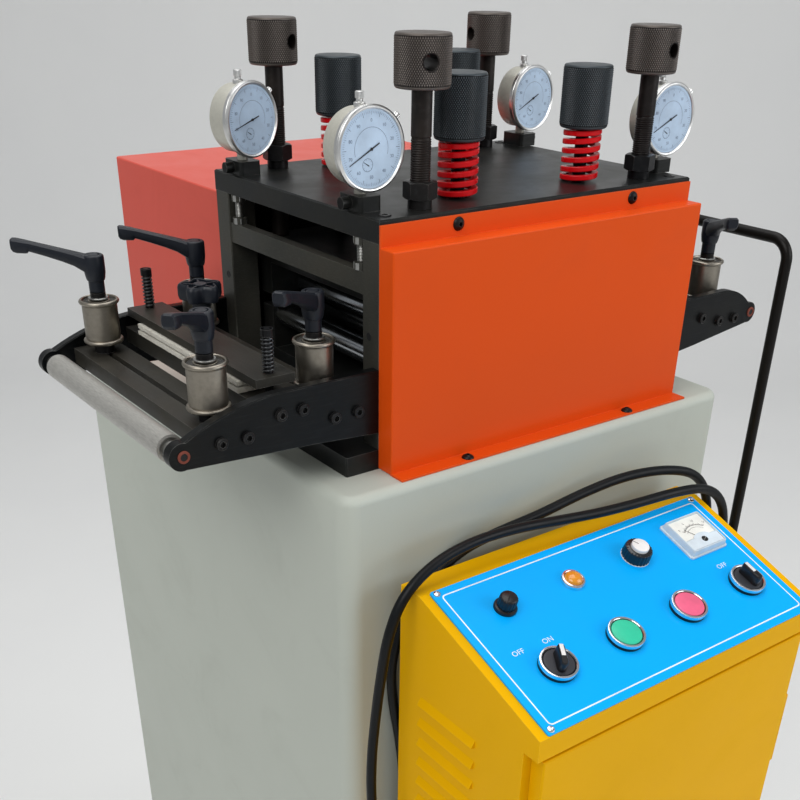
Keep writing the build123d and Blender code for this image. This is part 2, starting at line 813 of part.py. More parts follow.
# Guide rollers, their fixed posts and the clamp levers on top
roller_ys = (guide_inner_near + guide_roller_inset, guide_inner_far - guide_roller_inset)
entry_roller_places = [(-reach, y) for reach in entry_slots for y in reversed(roller_ys)]
exit_roller_places = [(head_length + reach, y) for reach in exit_slots for y in roller_ys]

with BuildPart() as guide_roller:
    flange_radius = guide_roller_flange_diameter / 2
    body_radius = guide_roller_body_diameter / 2
    bore_radius = post_pin_diameter / 2 + guide_roller_bore_gap
    roller_top = guide_roller_bottom + guide_roller_height
    with BuildSketch(Plane.XZ):
        with BuildLine():
            Polyline(
                (bore_radius, guide_roller_bottom),
                (flange_radius, guide_roller_bottom),
                (flange_radius, guide_roller_bottom + guide_roller_flange_height),
                (body_radius, guide_roller_bottom + guide_roller_flange_height),
                (body_radius, roller_top - guide_roller_flange_height),
                (flange_radius, roller_top - guide_roller_flange_height),
                (flange_radius, roller_top),
                (flange_radius - guide_roller_rim, roller_top),
                (flange_radius - guide_roller_rim, roller_top - guide_roller_recess),
                (bore_radius, roller_top - guide_roller_recess),
                close=True,
            )
        make_face()
    revolve(axis=Axis.Z)
for group, places in (("entry", entry_roller_places), ("exit", exit_roller_places)):
    for number, (x, y) in enumerate(places, 1):
        save(guide_roller.part, f"{group}_guide_roller_{number}", head_place * Location((x, y, 0)))

with BuildPart() as guide_post:
    foot_top = guide_roller_bottom - post_foot_gap
    nut_bottom = bar_top - bar_height - post_nut_height
    with BuildSketch(Plane.XZ):
        with BuildLine():
            Polyline(
                (0, nut_bottom),
                (post_nut_diameter / 2, nut_bottom),
                (post_nut_diameter / 2, nut_bottom + post_nut_height),
                (post_shank_diameter / 2, nut_bottom + post_nut_height),
                (post_shank_diameter / 2, bar_top),
                (post_foot_diameter / 2, bar_top),
                (post_foot_diameter / 2, foot_top),
                (post_pin_diameter / 2, foot_top),
                (post_pin_diameter / 2, post_pin_top),
                (0, post_pin_top),
                close=True,
            )
        make_face()
    revolve(axis=Axis.Z)
all_roller_places = entry_roller_places + exit_roller_places
guide_posts = Compound(children=[guide_post.part.moved(Location((x, y, 0))) for x, y in all_roller_places])
save(guide_posts, "guide_posts", head_place)

with BuildPart() as clamp_lever:
    hub_middle = (lever_hub_bottom + lever_arm_low) / 2
    with BuildSketch(Plane.XZ):
        with BuildLine():
            Polyline(
                (0, lever_hub_bottom),
                (lever_hub_lower_diameter / 2, lever_hub_bottom),
                (lever_hub_lower_diameter / 2, hub_middle),
                (lever_hub_upper_diameter / 2, lever_arm_low),
                (lever_hub_upper_diameter / 2, lever_hub_top - lever_edge),
                (lever_hub_upper_diameter / 2 - lever_edge, lever_hub_top),
                (0, lever_hub_top),
                close=True,
            )
        make_face()
    revolve(axis=Axis.Z)
    with BuildSketch(Plane.XZ.offset(-lever_arm_width / 2)):
        with BuildLine():
            Polyline(
                (0, lever_arm_low),
                (lever_hub_upper_diameter / 2, lever_arm_low),
                (lever_reach - lever_tip_edge, lever_tip_low),
                (lever_reach, lever_tip_low + lever_edge),
                (lever_reach, lever_tip_high - lever_edge),
                (lever_reach - lever_tip_edge, lever_tip_high),
                (0, lever_hub_top - lever_edge),
                close=True,
            )
        make_face()
    extrude(amount=lever_arm_width)
    pin_hole_depth = post_pin_top + lever_bore_clearance - lever_hub_bottom
    with BuildSketch(Plane.XY.offset(lever_hub_bottom)):
        Circle(post_pin_diameter / 2 + lever_bore_clearance)
    extrude(amount=pin_hole_depth, mode=Mode.SUBTRACT)
for group, places, angles in (
    ("entry", entry_roller_places, entry_lever_angles),
    ("exit", exit_roller_places, exit_lever_angles),
):
    for number, ((x, y), angle) in enumerate(zip(places, angles), 1):
        lever_place = head_place * Location((x, y, 0), (0, 0, angle))
        save(clamp_lever.part, f"{group}_clamp_lever_{number}", lever_place)

# Feeler hoop: one bent rod, each foot in a flanged socket on the pedestal's exit side
hoop_x = head_left + head_length + hoop_reach
hoop_ys = (head_front, head_front + head_width)
hoop_foot_level = pedestal_height - hoop_foot_drop
hoop_top_level = pedestal_height + hoop_top
hoop_foot_x = pedestal_exit_side + hoop_flange_thickness
with BuildPart() as feeler_hoop:
    with BuildLine() as hoop_path:
        FilletPolyline(
            (hoop_foot_x, hoop_ys[0], hoop_foot_level),
            (hoop_x, hoop_ys[0], hoop_foot_level),
            (hoop_x, hoop_ys[0], hoop_top_level),
            (hoop_x, hoop_ys[1], hoop_top_level),
            (hoop_x, hoop_ys[1], hoop_foot_level),
            (hoop_foot_x, hoop_ys[1], hoop_foot_level),
            radius=(hoop_foot_radius, hoop_top_radius, hoop_top_radius, hoop_foot_radius),
        )
    with BuildSketch(Plane(origin=hoop_path.line @ 0, z_dir=hoop_path.line % 0)):
        Circle(hoop_rod_diameter / 2)
    sweep(path=hoop_path.line)
save(feeler_hoop.part, "feeler_hoop")

with BuildPart() as hoop_sockets:
    with BuildSketch(Plane.YZ.offset(pedestal_exit_side)):
        with Locations(*[(y, hoop_foot_level) for y in hoop_ys]):
            Circle(hoop_flange_diameter / 2)
    extrude(amount=hoop_flange_thickness)
    with BuildSketch(Plane.YZ.offset(hoop_foot_x)):
        with Locations(*[(y, hoop_foot_level) for y in hoop_ys]):
            Circle(hoop_socket_diameter / 2)
            Circle(hoop_rod_diameter / 2 + hoop_socket_clearance, mode=Mode.SUBTRACT)
    extrude(amount=hoop_socket_length)
save(hoop_sockets.part, "hoop_sockets")

# Console cabinet
console_right = console_left + console_width
console_middle = console_left + console_width / 2
console_back = pedestal_front - console_gap
slope_back = console_back - console_ledge
slope_front = slope_back - console_slope_length * cos(radians(console_slope))
slope_foot = console_top - console_slope_length * sin(radians(console_slope))
console_face = slope_front + console_overhang
slope_tangent = tan(radians(console_slope))


def cabinet_profile(inset):
    """Side profile of the cabinet, or of its inside when inset by the wall; both are open at the foot."""
    slope_inset = inset / cos(radians(console_slope))
    return (
        (console_back - inset, 0),
        (console_back - inset, console_top - inset),
        (slope_back - inset * tan(radians(console_slope / 2)), console_top - inset),
        (slope_front + inset, slope_foot - slope_inset + inset * slope_tangent),
        (slope_front + inset, slope_foot - console_lip + inset),
        (console_face + inset, slope_foot - console_lip + inset),
        (console_face + inset, 0),
    )


switch_plane = Plane(
    origin=(console_middle - panel_length / 2, slope_back, console_top),
    x_dir=(1, 0, 0),
    z_dir=(0, -sin(radians(console_slope)), cos(radians(console_slope))),
)
panel_centre = (panel_length / 2, -console_slope_length / 2)
panel_back_row = -(console_slope_length - panel_depth) / 2


def panel_spot(column, row):
    """Place on the panel, from its back left corner."""
    return (panel_columns[column], panel_back_row - panel_rows[row])


selector_spots = [panel_spot(0, 1), panel_spot(3, 1)]
button_spots = [panel_spot(1, 1), panel_spot(2, 1)]
speed_spot = panel_spot(2, 0)
lamp_spot = panel_spot(1, 0)
fuse_spot = panel_spot(0, 0)
meter_column, meter_row = panel_spot(3, 0)
meter_spot = (meter_column + meter_shift_x, meter_row + meter_shift_y)
door_left = console_left + door_margin
door_right = console_right - door_margin
door_top = slope_foot - console_lip - door_top_gap

with BuildPart() as console_body:
    with BuildSketch(Plane.YZ.offset(console_left)):
        with BuildLine():
            Polyline(*cabinet_profile(0), close=True)
        make_face()
    extrude(amount=console_width)
    with BuildSketch(Plane.YZ.offset(console_left + console_wall)):
        with BuildLine():
            Polyline(*cabinet_profile(console_wall), close=True)
        make_face()
    extrude(amount=console_width - 2 * console_wall, mode=Mode.SUBTRACT)
    doorway_height = door_top - door_bottom - 2 * door_opening_margin
    doorway_middle = (door_top + door_bottom) / 2
    with Locations((console_middle, console_face, doorway_middle)):
        Box(
            console_width - 2 * door_margin - 2 * door_opening_margin,
            4 * console_wall,
            doorway_height,
            mode=Mode.SUBTRACT,
        )
    with BuildSketch(switch_plane):
        with Locations(*selector_spots, *button_spots):
            Circle(switch_hole_diameter / 2)
        with Locations(speed_spot):
            Circle(speed_shaft_diameter / 2 + selector_gap)
    extrude(amount=2 * console_wall, both=True, mode=Mode.SUBTRACT)
    louvre_top = console_top - louvre_first_drop
    louvre_middle = console_back - louvre_back_inset - louvre_length / 2
    for row in range(louvre_count):
        level = louvre_top - row * louvre_pitch
        with BuildSketch(Plane.XZ.offset(-(louvre_middle - louvre_length / 2))):
            with BuildLine():
                Polyline(
                    (console_left, level),
                    (console_left - louvre_depth, level - louvre_drop),
                    (console_left, level - louvre_foot_drop),
                    close=True,
                )
            make_face()
        extrude(amount=-louvre_length)
    floor_inset = console_wall + console_floor_gap
    with BuildSketch():
        with Locations((console_middle, (console_face + console_back) / 2)):
            Rectangle(console_width - 2 * floor_inset, console_back - console_face - 2 * floor_inset)
    extrude(amount=console_wall)
save(console_body.part, "console_body")

# Console door with its hinges
hinge_x = door_right + hinge_barrel_diameter / 2 + hinge_edge_gap
hinge_y = console_face - hinge_barrel_diameter / 2 - door_gap
door_width = door_right - door_left
door_height = door_top - door_bottom
door_middle = (door_left + door_right) / 2
door_back = console_face - door_gap
with BuildPart() as console_door:
    with Locations((door_middle, door_back - door_thickness / 2, doorway_middle)):
        Box(door_width, door_thickness, door_height)
    fillet(console_door.faces().sort_by(Axis.Y)[0].edges(), radius=door_edge_radius)
    inner_depth = door_thickness - door_skin
    with Locations((door_middle, door_back - inner_depth / 2, doorway_middle)):
        Box(door_width - 2 * door_skin, inner_depth, door_height - 2 * door_skin, mode=Mode.SUBTRACT)
    with BuildSketch(Plane.XZ.offset(door_thickness - door_back)):
        with Locations((door_left + lock_inset, lock_level)):
            Circle(lock_diameter / 2)
    extrude(amount=lock_height)
    for level in hinge_heights:
        with BuildSketch(Plane.XY.offset(level)):
            with Locations((hinge_x, hinge_y)):
                Circle(hinge_barrel_diameter / 2)
            with Locations((hinge_x - hinge_barrel_diameter / 2, hinge_y)):
                Rectangle(hinge_barrel_diameter, hinge_barrel_diameter / 2)
            with Locations((hinge_x, hinge_y)):
                Circle(hinge_pin_diameter / 2 + hinge_clearance, mode=Mode.SUBTRACT)
        extrude(amount=hinge_barrel_length)
save(console_door.part, "console_door")

with BuildPart() as door_hinges:
    for level in hinge_heights:
        barrel_step = hinge_barrel_length + hinge_barrel_gap
        with BuildSketch(Plane.XY.offset(level - barrel_step)):
            with Locations((hinge_x, hinge_y)):
                Circle(hinge_pin_diameter / 2)
        extrude(amount=2 * barrel_step + hinge_barrel_length)
        for start in (level - barrel_step, level + barrel_step):
            with BuildSketch(Plane.XY.offset(start)):
                with Locations((hinge_x, hinge_y)):
                    Circle(hinge_barrel_diameter / 2)
                with Locations((hinge_x, (hinge_y + console_face) / 2)):
                    Rectangle(hinge_barrel_diameter / 2, console_face - hinge_y)
            extrude(amount=hinge_barrel_length)
save(door_hinges.part, "door_hinges")

# Control panel
with BuildPart() as console_panel:
    with BuildSketch(switch_plane):
        with Locations(panel_centre):
            RectangleRounded(panel_length, panel_depth, panel_corner_radius)
        with Locations(*selector_spots, *button_spots):
            Circle(switch_hole_diameter / 2, mode=Mode.SUBTRACT)
        with Locations(speed_spot):
            Circle(speed_shaft_diameter / 2 + selector_gap, mode=Mode.SUBTRACT)
    extrude(amount=panel_thickness)
save(console_panel.part, "console_panel")

panel_face = switch_plane.offset(panel_thickness)
with BuildPart() as switch_bezels:
    with BuildSketch(panel_face):
        with Locations(*selector_spots, *button_spots):
            Circle(bezel_diameter / 2)
            Circle(switch_hole_diameter / 2, mode=Mode.SUBTRACT)
    extrude(amount=bezel_height)
    chamfer(
        switch_bezels.edges().filter_by(GeomType.CIRCLE).sort_by(SortBy.RADIUS)[-4:],
        length=bezel_chamfer,
    )
save(switch_bezels.part, "switch_bezels")

for node, spot in (("forward_button", button_spots[0]), ("reverse_button", button_spots[1])):
    with BuildPart() as push_button:
        with BuildSketch(panel_face.offset(bezel_height + button_proud - button_stem)):
            with Locations(spot):
                Circle(button_diameter / 2)
        extrude(amount=button_stem)
        chamfer(push_button.faces().sort_by(Axis.Z)[-1].edges(), length=button_chamfer)
    save(push_button.part, node)

for node, spot, handle_angle in (
    ("power_switch", selector_spots[0], power_switch_angle),
    ("mode_switch", selector_spots[1], mode_switch_angle),
):
    disc_top = bezel_height + selector_disc_height - selector_disc_inset
    with BuildPart() as selector:
        with BuildSketch(panel_face.offset(selector_gap - panel_thickness)):
            with Locations(spot):
                Circle(button_diameter / 2)
        extrude(amount=disc_top - selector_gap + panel_thickness)
        with BuildSketch(panel_face.offset(disc_top)):
            with Locations(Location((spot[0], spot[1], 0), (0, 0, handle_angle))):
                SlotOverall(selector_handle_length, selector_handle_width)
        extrude(amount=selector_handle_height)
    save(selector.part, node)

with BuildPart() as speed_knob:
    with BuildSketch(panel_face.offset(selector_gap)):
        with Locations(speed_spot):
            Circle(speed_knob_diameter / 2)
    extrude(amount=speed_knob_height - speed_knob_cap_height, taper=speed_knob_taper)
    with BuildSketch(panel_face.offset(selector_gap + speed_knob_height - speed_knob_cap_height)):
        with Locations(speed_spot):
            Circle(speed_knob_cap_diameter / 2)
    extrude(amount=speed_knob_cap_height)
    with BuildSketch(panel_face.offset(-speed_shaft_depth)):
        with Locations(speed_spot):
            Circle(speed_shaft_diameter / 2)
    extrude(amount=speed_shaft_depth + selector_gap)
save(speed_knob.part, "speed_knob")

with BuildPart() as panel_meter:
    with BuildSketch(panel_face):
        with Locations(meter_spot):
            RectangleRounded(meter_width, meter_depth, meter_corner_radius)
    extrude(amount=meter_height)
    with BuildSketch(panel_face.offset(meter_height)):
        with Locations(meter_spot):
            window_size = (meter_width - 2 * meter_frame, meter_depth - 2 * meter_frame)
            RectangleRounded(*window_size, meter_window_radius)
    extrude(amount=-meter_recess, mode=Mode.SUBTRACT)
save(panel_meter.part, "panel_meter")

with BuildPart() as power_lamp:
    with BuildSketch(panel_face):
        with Locations(lamp_spot):
            Circle(lamp_bezel_diameter / 2)
    extrude(amount=lamp_bezel_height)
    with BuildSketch(panel_face.offset(lamp_bezel_height)):
        with Locations(lamp_spot):
            Circle(lamp_lens_diameter / 2)
    extrude(amount=lamp_lens_height, taper=lamp_lens_taper)
save(power_lamp.part, "power_lamp")

with BuildPart() as fuse_holder:
    with BuildSketch(panel_face):
        with Locations(fuse_spot):
            Circle(fuse_base_diameter / 2)
    extrude(amount=fuse_base_height)
    with BuildSketch(panel_face.offset(fuse_base_height)):
        with Locations(fuse_spot):
            Circle(fuse_cap_diameter / 2)
    extrude(amount=fuse_cap_height, taper=fuse_cap_taper)
save(fuse_holder.part, "fuse_holder")


# Cables with a gland at each end
def route_radii(route):
    """Largest tangent arc for each corner of a cable's route."""
    points = [Vector(*point) for point in route]
    radii = []
    for before, corner, after in zip(points, points[1:], points[2:]):
        shorter = min((corner - before).length, (after - corner).length)
        turn = (corner - before).get_angle(after - corner)
        radii.append(corner_share * shorter / tan(radians(turn / 2)))
    return radii


def gland(tip, way):
    """Cable gland from a wall to the cable's end; way points from the tip back into the wall."""
    with BuildPart() as body:
        with BuildSketch(Plane(origin=tip, z_dir=way)):
            Circle(gland_diameter / 2)
        extrude(amount=gland_length)
        with BuildSketch(Plane(origin=tip, z_dir=way).offset(gland_length - gland_hex_length)):
            RegularPolygon(gland_hex_width / 2, 6, major_radius=False)
        extrude(amount=gland_hex_length)
    return body.part


glands = []
for node, route in (("cable_1", cable_1_route), ("cable_2", cable_2_route)):
    radii = route_radii(route)
    with BuildPart() as cable:
        with BuildLine() as cable_path:
            FilletPolyline(*route, radius=radii)
        with BuildSketch(Plane(origin=cable_path.line @ 0, z_dir=cable_path.line % 0)):
            Circle(cable_diameter / 2)
        sweep(path=cable_path.line)
    save(cable.part, node)
    glands += [gland(route[0], (-1, 0, 0)), gland(route[-1], (0, 1, 0))]
    run = sum(edge.length for edge in cable_path.edges())
    section = Circle(cable_diameter / 2, mode=Mode.PRIVATE).area
    share = cable.part.volume / section / run
    print(node, "length", round(run), "volume over section times length", round(share, 4))
    print(node, "radii", [round(radius) for radius in radii])
save(Compound(children=glands), "cable_glands")
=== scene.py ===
"""Looks for the sheet straightening machine. Metres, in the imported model's frame."""

from math import cos, hypot, pi, radians, sin, sqrt

import bmesh
import bpy
from mathutils import Matrix, Vector, noise


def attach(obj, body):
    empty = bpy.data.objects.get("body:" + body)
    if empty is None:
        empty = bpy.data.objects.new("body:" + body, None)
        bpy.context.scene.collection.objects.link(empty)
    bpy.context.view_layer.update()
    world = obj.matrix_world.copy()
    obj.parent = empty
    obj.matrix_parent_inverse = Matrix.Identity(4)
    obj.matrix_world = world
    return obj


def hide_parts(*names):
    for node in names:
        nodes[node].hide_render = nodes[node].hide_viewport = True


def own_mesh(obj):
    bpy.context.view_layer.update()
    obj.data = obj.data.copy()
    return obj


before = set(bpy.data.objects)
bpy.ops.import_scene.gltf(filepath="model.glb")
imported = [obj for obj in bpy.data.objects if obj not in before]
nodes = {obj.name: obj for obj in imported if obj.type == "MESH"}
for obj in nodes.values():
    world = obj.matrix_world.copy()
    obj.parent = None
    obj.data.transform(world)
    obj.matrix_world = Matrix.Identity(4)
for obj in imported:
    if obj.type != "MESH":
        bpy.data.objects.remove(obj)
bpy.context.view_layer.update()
MM = 0.001
HEAD = Vector((-146, -201, 950)) * MM


def H(x, y, z):
    """A place given in millimetres from the head's front left corner on the pedestal's top."""
    return HEAD + Vector((x, y, z)) * MM


def added(name, data):
    """A new object of the scene."""
    thing = bpy.data.objects.new(name, data)
    bpy.context.scene.collection.objects.link(thing)
    return thing


# Camera
camera_data = bpy.data.cameras.new("camera")
camera = added("camera", camera_data)
camera.location = Vector((-562.2, -788.4, 1271.9)) * MM
view_forward = Vector((0.5074, 0.6807, -0.5283)).normalized()
view_right = Vector((0.8067, -0.5909, 0.0134)).normalized()
view_up = view_right.cross(view_forward)
camera.rotation_euler = Matrix((view_right, view_up, -view_forward)).transposed().to_euler()
frame_pixels, focal_pixels, sensor = 800, 1066.3, 36
camera_data.sensor_width = sensor
camera_data.lens = focal_pixels / frame_pixels * sensor
camera_data.shift_y = 0.269
camera_data.clip_start = 0.01
bpy.context.scene.camera = camera


# Materials
def linear(r, g, b):
    """Linear colour from 0-255 screen values."""
    out = []
    for v in (r, g, b):
        v = v / 255
        out.append(v / 12.92 if v <= 0.04045 else ((v + 0.055) / 1.055) ** 2.4)
    return (*out, 1.0)


class Shade:
    """One node material, with short calls to add and join its nodes."""

    def __init__(self, name, **inputs):
        self.material = bpy.data.materials.new(name)
        self.material.use_nodes = True
        self.tree = self.material.node_tree
        self.surface = self.tree.nodes["Principled BSDF"]
        self.coordinates = self.add("ShaderNodeTexCoord").outputs["Object"]
        for key, value in inputs.items():
            self.surface.inputs[key.replace("_", " ")].default_value = value

    def add(self, kind, links=None, **settings):
        node = self.tree.nodes.new(kind)
        for key, value in settings.items():
            setattr(node, key, value)
        for key, value in (links or {}).items():
            self.put(node.inputs[key], value)
        return node

    def put(self, socket, value):
        if isinstance(value, bpy.types.NodeSocket):
            self.tree.links.new(value, socket)
        else:
            socket.default_value = value

    def math(self, operation, a, b=None, clamp=False):
        node = self.add("ShaderNodeMath", operation=operation, use_clamp=clamp)
        for index, value in enumerate((a, b)):
            if value is not None:
                self.put(node.inputs[index], value)
        return node.outputs[0]

    def noise(self, scale, detail=3, roughness=0.5, stretch=(1, 1, 1), seed=0.0, distortion=0.0):
        mapping = self.add("ShaderNodeMapping", {
            "Vector": self.coordinates, "Scale": stretch, "Location": (seed, seed * 0.7, seed * 1.3)})
        node = self.add("ShaderNodeTexNoise", {
            "Vector": mapping.outputs[0], "Scale": scale, "Detail": detail, "Roughness": roughness,
            "Distortion": distortion})
        return node.outputs["Fac"]

    def span(self, value, low, high, out_low=0.0, out_high=1.0):
        node = self.add("ShaderNodeMapRange", {
            "Value": value, "From Min": low, "From Max": high, "To Min": out_low, "To Max": out_high})
        return node.outputs[0]

    def mix(self, share, a, b):
        node = self.add("ShaderNodeMix", data_type="RGBA")
        for index, value in ((0, share), (6, a), (7, b)):
            self.put(node.inputs[index], value)
        return node.outputs[2]

    def bump(self, height, strength, distance):
        node = self.add("ShaderNodeBump", {"Height": height, "Strength": strength, "Distance": distance})
        return node.outputs["Normal"]

    def edge(self, radius, scale, seed, wear):
        """Share of wear: up to the given one on sharp edges in patches, 0 on flat faces."""
        bevel = self.add("ShaderNodeBevel", {"Radius": radius}, samples=4)
        plain = self.add("ShaderNodeNewGeometry")
        agree = self.add("ShaderNodeVectorMath", {0: bevel.outputs[0], 1: plain.outputs["Normal"]},
                         operation="DOT_PRODUCT")
        sharp = self.math("SUBTRACT", 1.0, agree.outputs["Value"], clamp=True)
        patches = self.span(self.noise(scale, 5, 0.7, seed=seed), 0.35, 0.68)
        return self.span(self.math("MULTIPLY", sharp, patches), 0.02, 0.23, 0, wear)

    def out(self, **links):
        """Join the surface's inputs and give the material."""
        for key, value in links.items():
            self.put(self.surface.inputs[key.replace("_", " ")], value)
        return self.material


def paint(name, colour, rough=0.34, peel=0.1, dirt=0.08, wear=0.0, cloud=0.08, specular=0.14, coat=0.0,
          painted_front_shade=False):
    """Sprayed paint: orange peel, faint clouding, smudges and, where asked, worn edges and painted shade on
    faces turned to the front.
    """
    m = Shade(name, Specular_IOR_Level=specular, Coat_Weight=coat, Coat_Roughness=0.15)
    smudge = m.noise(11, 6, 0.65, seed=4.1, distortion=0.6)
    speck = m.noise(240, 2, 0.5, seed=2.2)
    base = linear(*colour)
    darker = tuple(v * (1 - cloud) for v in base[:3]) + (1.0,)
    tint = m.mix(m.span(m.noise(3.0, 3, 0.5, seed=1.3), 0.35, 0.7), base, darker)
    mask = m.math("ADD", m.span(smudge, 0.55, 0.8, 0, dirt), m.span(speck, 0.74, 0.84, 0, dirt * 0.8), True)
    tint = m.mix(mask, tint, linear(60, 52, 42))
    if wear:
        rubbed = tuple(min(1, v * 1.7 + 0.05) for v in base[:3]) + (1.0,)
        tint = m.mix(m.edge(0.0012, 90, 7, wear), tint, rubbed)
    # Painted shade: faces that look to the front (-Y) darken to near black.
    if painted_front_shade:
        normal = m.add("ShaderNodeSeparateXYZ", {0: m.add("ShaderNodeNewGeometry").outputs["True Normal"]})
        tint = m.mix(m.span(normal.outputs["Y"], -0.9, -0.95), tint, linear(10, 10, 9))
    return m.out(Base_Color=tint, Roughness=m.span(smudge, 0.3, 0.8, rough * 0.85, rough * 1.25),
                 Normal=m.bump(m.noise(420, 2, 0.45, seed=3), peel, 0.0004))


def black_steel(name, colour, rough=0.38, streak=(1, 1, 1), metal=0.4, wear=0.5, knurl=None):
    """Black-oxide steel: oily blotches, faint grinding lines, bright rubbed edges and, where asked, knurl
    crests lightened as rubbed wear and painted highlight.
    """
    m = Shade(name, Metallic=metal, Specular_IOR_Level=0.3)
    blotch = m.noise(18, 6, 0.62, seed=2.7, distortion=0.4)
    lines = m.noise(240, 3, 0.6, stretch=streak, seed=5)
    warm = linear(colour[0] + 14, colour[1] + 11, colour[2] + 7)
    tint = m.mix(m.span(blotch, 0.4, 0.75), linear(*colour), warm)
    scratch = linear(*(v + 38 for v in colour))
    tint = m.mix(m.span(lines, 0.5, 0.75, 0, 0.25), tint, scratch)
    if wear:
        tint = m.mix(m.edge(0.0008, 70, 9, wear), tint, linear(138, 138, 134))
    # Knurl crests take the lighter colour from the vertex tone as rubbed wear and painted highlight; the
    # valleys keep the dark tint as oxide and painted shade.
    if knurl:
        valley = m.add("ShaderNodeAttribute", attribute_name="valley")
        tint = m.mix(valley.outputs["Fac"], linear(*knurl), tint)
    return m.out(Base_Color=tint, Roughness=m.span(blotch, 0.3, 0.8, rough * 0.8, rough * 1.35),
                 Normal=m.bump(lines, 0.12, 0.0002))


def bright_steel(name, colour, rough, streak=(1, 1, 1), stain=0.3, metal=1.0, line=0.86, relief=0.08):
    """Ground steel: fine turned lines, a little staining and dust."""
    m = Shade(name, Metallic=metal)
    lines = m.noise(300, 4, 0.6, stretch=streak, seed=3)
    stains = m.noise(22, 5, 0.6, seed=8, distortion=0.4)
    tint = m.mix(m.span(lines, 0.35, 0.7), linear(*colour), linear(*(v * line for v in colour)))
    dull = linear(*(v * f for v, f in zip(colour, (0.62, 0.56, 0.48))))
    tint = m.mix(m.span(stains, 0.55, 0.8, 0, stain), tint, dull)
    roughness = m.math("ADD", m.span(lines, 0.3, 0.7, rough * 0.85, rough * 1.2),
                       m.span(stains, 0.5, 0.8, 0, 0.12))
    return m.out(Base_Color=tint, Roughness=roughness, Normal=m.bump(lines, relief, 0.00015))


def plastic(name, colour, rough=0.4, grain=0.12, scale=900, **inputs):
    """Moulded plastic: fine grain, slight colour drift and handling shine."""
    m = Shade(name, **inputs)
    grip = m.noise(40, 5, 0.6, seed=6)
    tint = m.mix(m.span(grip, 0.35, 0.75), linear(*colour), linear(*(v * 0.86 + 3 for v in colour)))
    return m.out(Base_Color=tint, Roughness=m.span(grip, 0.3, 0.75, rough * 0.8, rough * 1.25),
                 Normal=m.bump(m.noise(scale, 2, 0.5, seed=1), grain, 0.0002))


pedestal_paint = paint("pedestal_paint", (189, 194, 184), rough=0.42, dirt=0.07, cloud=0.05)
orange_paint = paint("orange_paint", (225, 80, 16), rough=0.36, dirt=0.05, wear=0.5)
# Red paint with painted shade: its faces turned to the front go near black.
red_paint = paint("red_paint", (216, 90, 76), rough=0.36, dirt=0.08, painted_front_shade=True)
yellow_paint = paint("yellow_paint", (236, 177, 0), rough=0.4, dirt=0.04, wear=0.3, specular=0.05)
spring_paint = paint("spring_paint", (212, 8, 18), rough=0.28, peel=0.05, wear=0.3, coat=0.3)
hoop_paint = paint("hoop_paint", (22, 20, 18), rough=0.36, peel=0.06, wear=0.15)
panel_blue = paint("panel_blue", (0, 174, 255), rough=0.32, peel=0.03, dirt=0.02, cloud=0.06)
head_black = black_steel("head_black", (27, 29, 29), rough=0.36, streak=(0.2, 6, 1))
post_black = black_steel("post_black", (64, 64, 59), rough=0.42, streak=(1, 1, 5))
plate_black = black_steel("plate_black", (6, 9, 11), rough=0.36, streak=(0.3, 1, 5), wear=0.7)
bar_black = black_steel("bar_black", (44, 43, 39), rough=0.44, streak=(5, 0.2, 1), metal=0.15)
screw_black = black_steel("screw_black", (19, 19, 21), rough=0.34, wear=0.5)
# Knurled steel: the knurl colour goes on the crests as rubbed wear and painted highlight, and the valleys
# stay dark as oxide and painted shade.
knurl_brown = black_steel("knurl_brown", (30, 26, 25), rough=0.42, wear=0.0, knurl=(118, 110, 104))
knurl_black = black_steel("knurl_black", (13, 16, 19), rough=0.42, wear=0.0, knurl=(84, 92, 97))
coil_black = black_steel("coil_black", (74, 76, 78), rough=0.3, metal=0.6)
roll_steel = bright_steel("roll_steel", (190, 194, 198), rough=0.18, streak=(0.4, 8, 0.4), stain=0.15)
tube_grey = bright_steel("tube_grey", (178, 176, 170), rough=0.38, streak=(6, 0.5, 6), metal=0.4, stain=0.12,
                         relief=0.02)
guide_steel = bright_steel("guide_steel", (158, 151, 139), rough=0.36, stain=0.1, line=0.94, relief=0.01)
zinc = bright_steel("zinc", (190, 190, 186), rough=0.34, stain=0.25)
chrome = bright_steel("chrome", (236, 238, 240), rough=0.14, stain=0.03, line=0.97, relief=0.01)
gauge_rim = bright_steel("gauge_rim", (232, 232, 230), rough=0.32, stain=0.03, line=0.96, relief=0.01)
gauge_case = bright_steel("gauge_case", (206, 204, 192), rough=0.42, metal=0.5, stain=0.05, line=0.96,
                          relief=0.01)
lever_plastic = plastic("lever_plastic", (19, 24, 33), rough=0.4, grain=0.15, Specular_IOR_Level=0.35)
black_plastic = plastic("black_plastic", (14, 14, 17), rough=0.34, grain=0.08)
disc_grey = plastic("disc_grey", (44, 47, 54), rough=0.45, grain=0.1)
knob_plastic = plastic("knob_plastic", (12, 13, 18), rough=0.25, grain=0.04, Coat_Weight=0.3)
cap_white = plastic("cap_white", (240, 240, 238), rough=0.35, grain=0.05)
green_plastic = plastic("green_plastic", (48, 204, 162), rough=0.34, grain=0.05)
red_plastic = plastic("red_plastic", (246, 104, 142), rough=0.34, grain=0.05)
meter_body = plastic("meter_body", (226, 242, 250), rough=0.16, grain=0.02, Coat_Weight=0.3,
                     Transmission_Weight=0.12)
meter_plate = plastic("meter_plate", (244, 247, 240), rough=0.4, grain=0.02)
meter_cover = plastic("meter_cover", (224, 239, 248), rough=0.14, grain=0.02, Coat_Weight=0.5)
cable_jacket = plastic("cable_jacket", (4, 7, 10), rough=0.42, grain=0.08, Specular_IOR_Level=0.22)
white_ink = plastic("white_ink", (236, 250, 255), rough=0.4, grain=0.02)
black_ink = plastic("black_ink", (20, 20, 24), rough=0.5, grain=0.02)
scale_ink = plastic("scale_ink", (118, 134, 158), rough=0.5, grain=0.02)
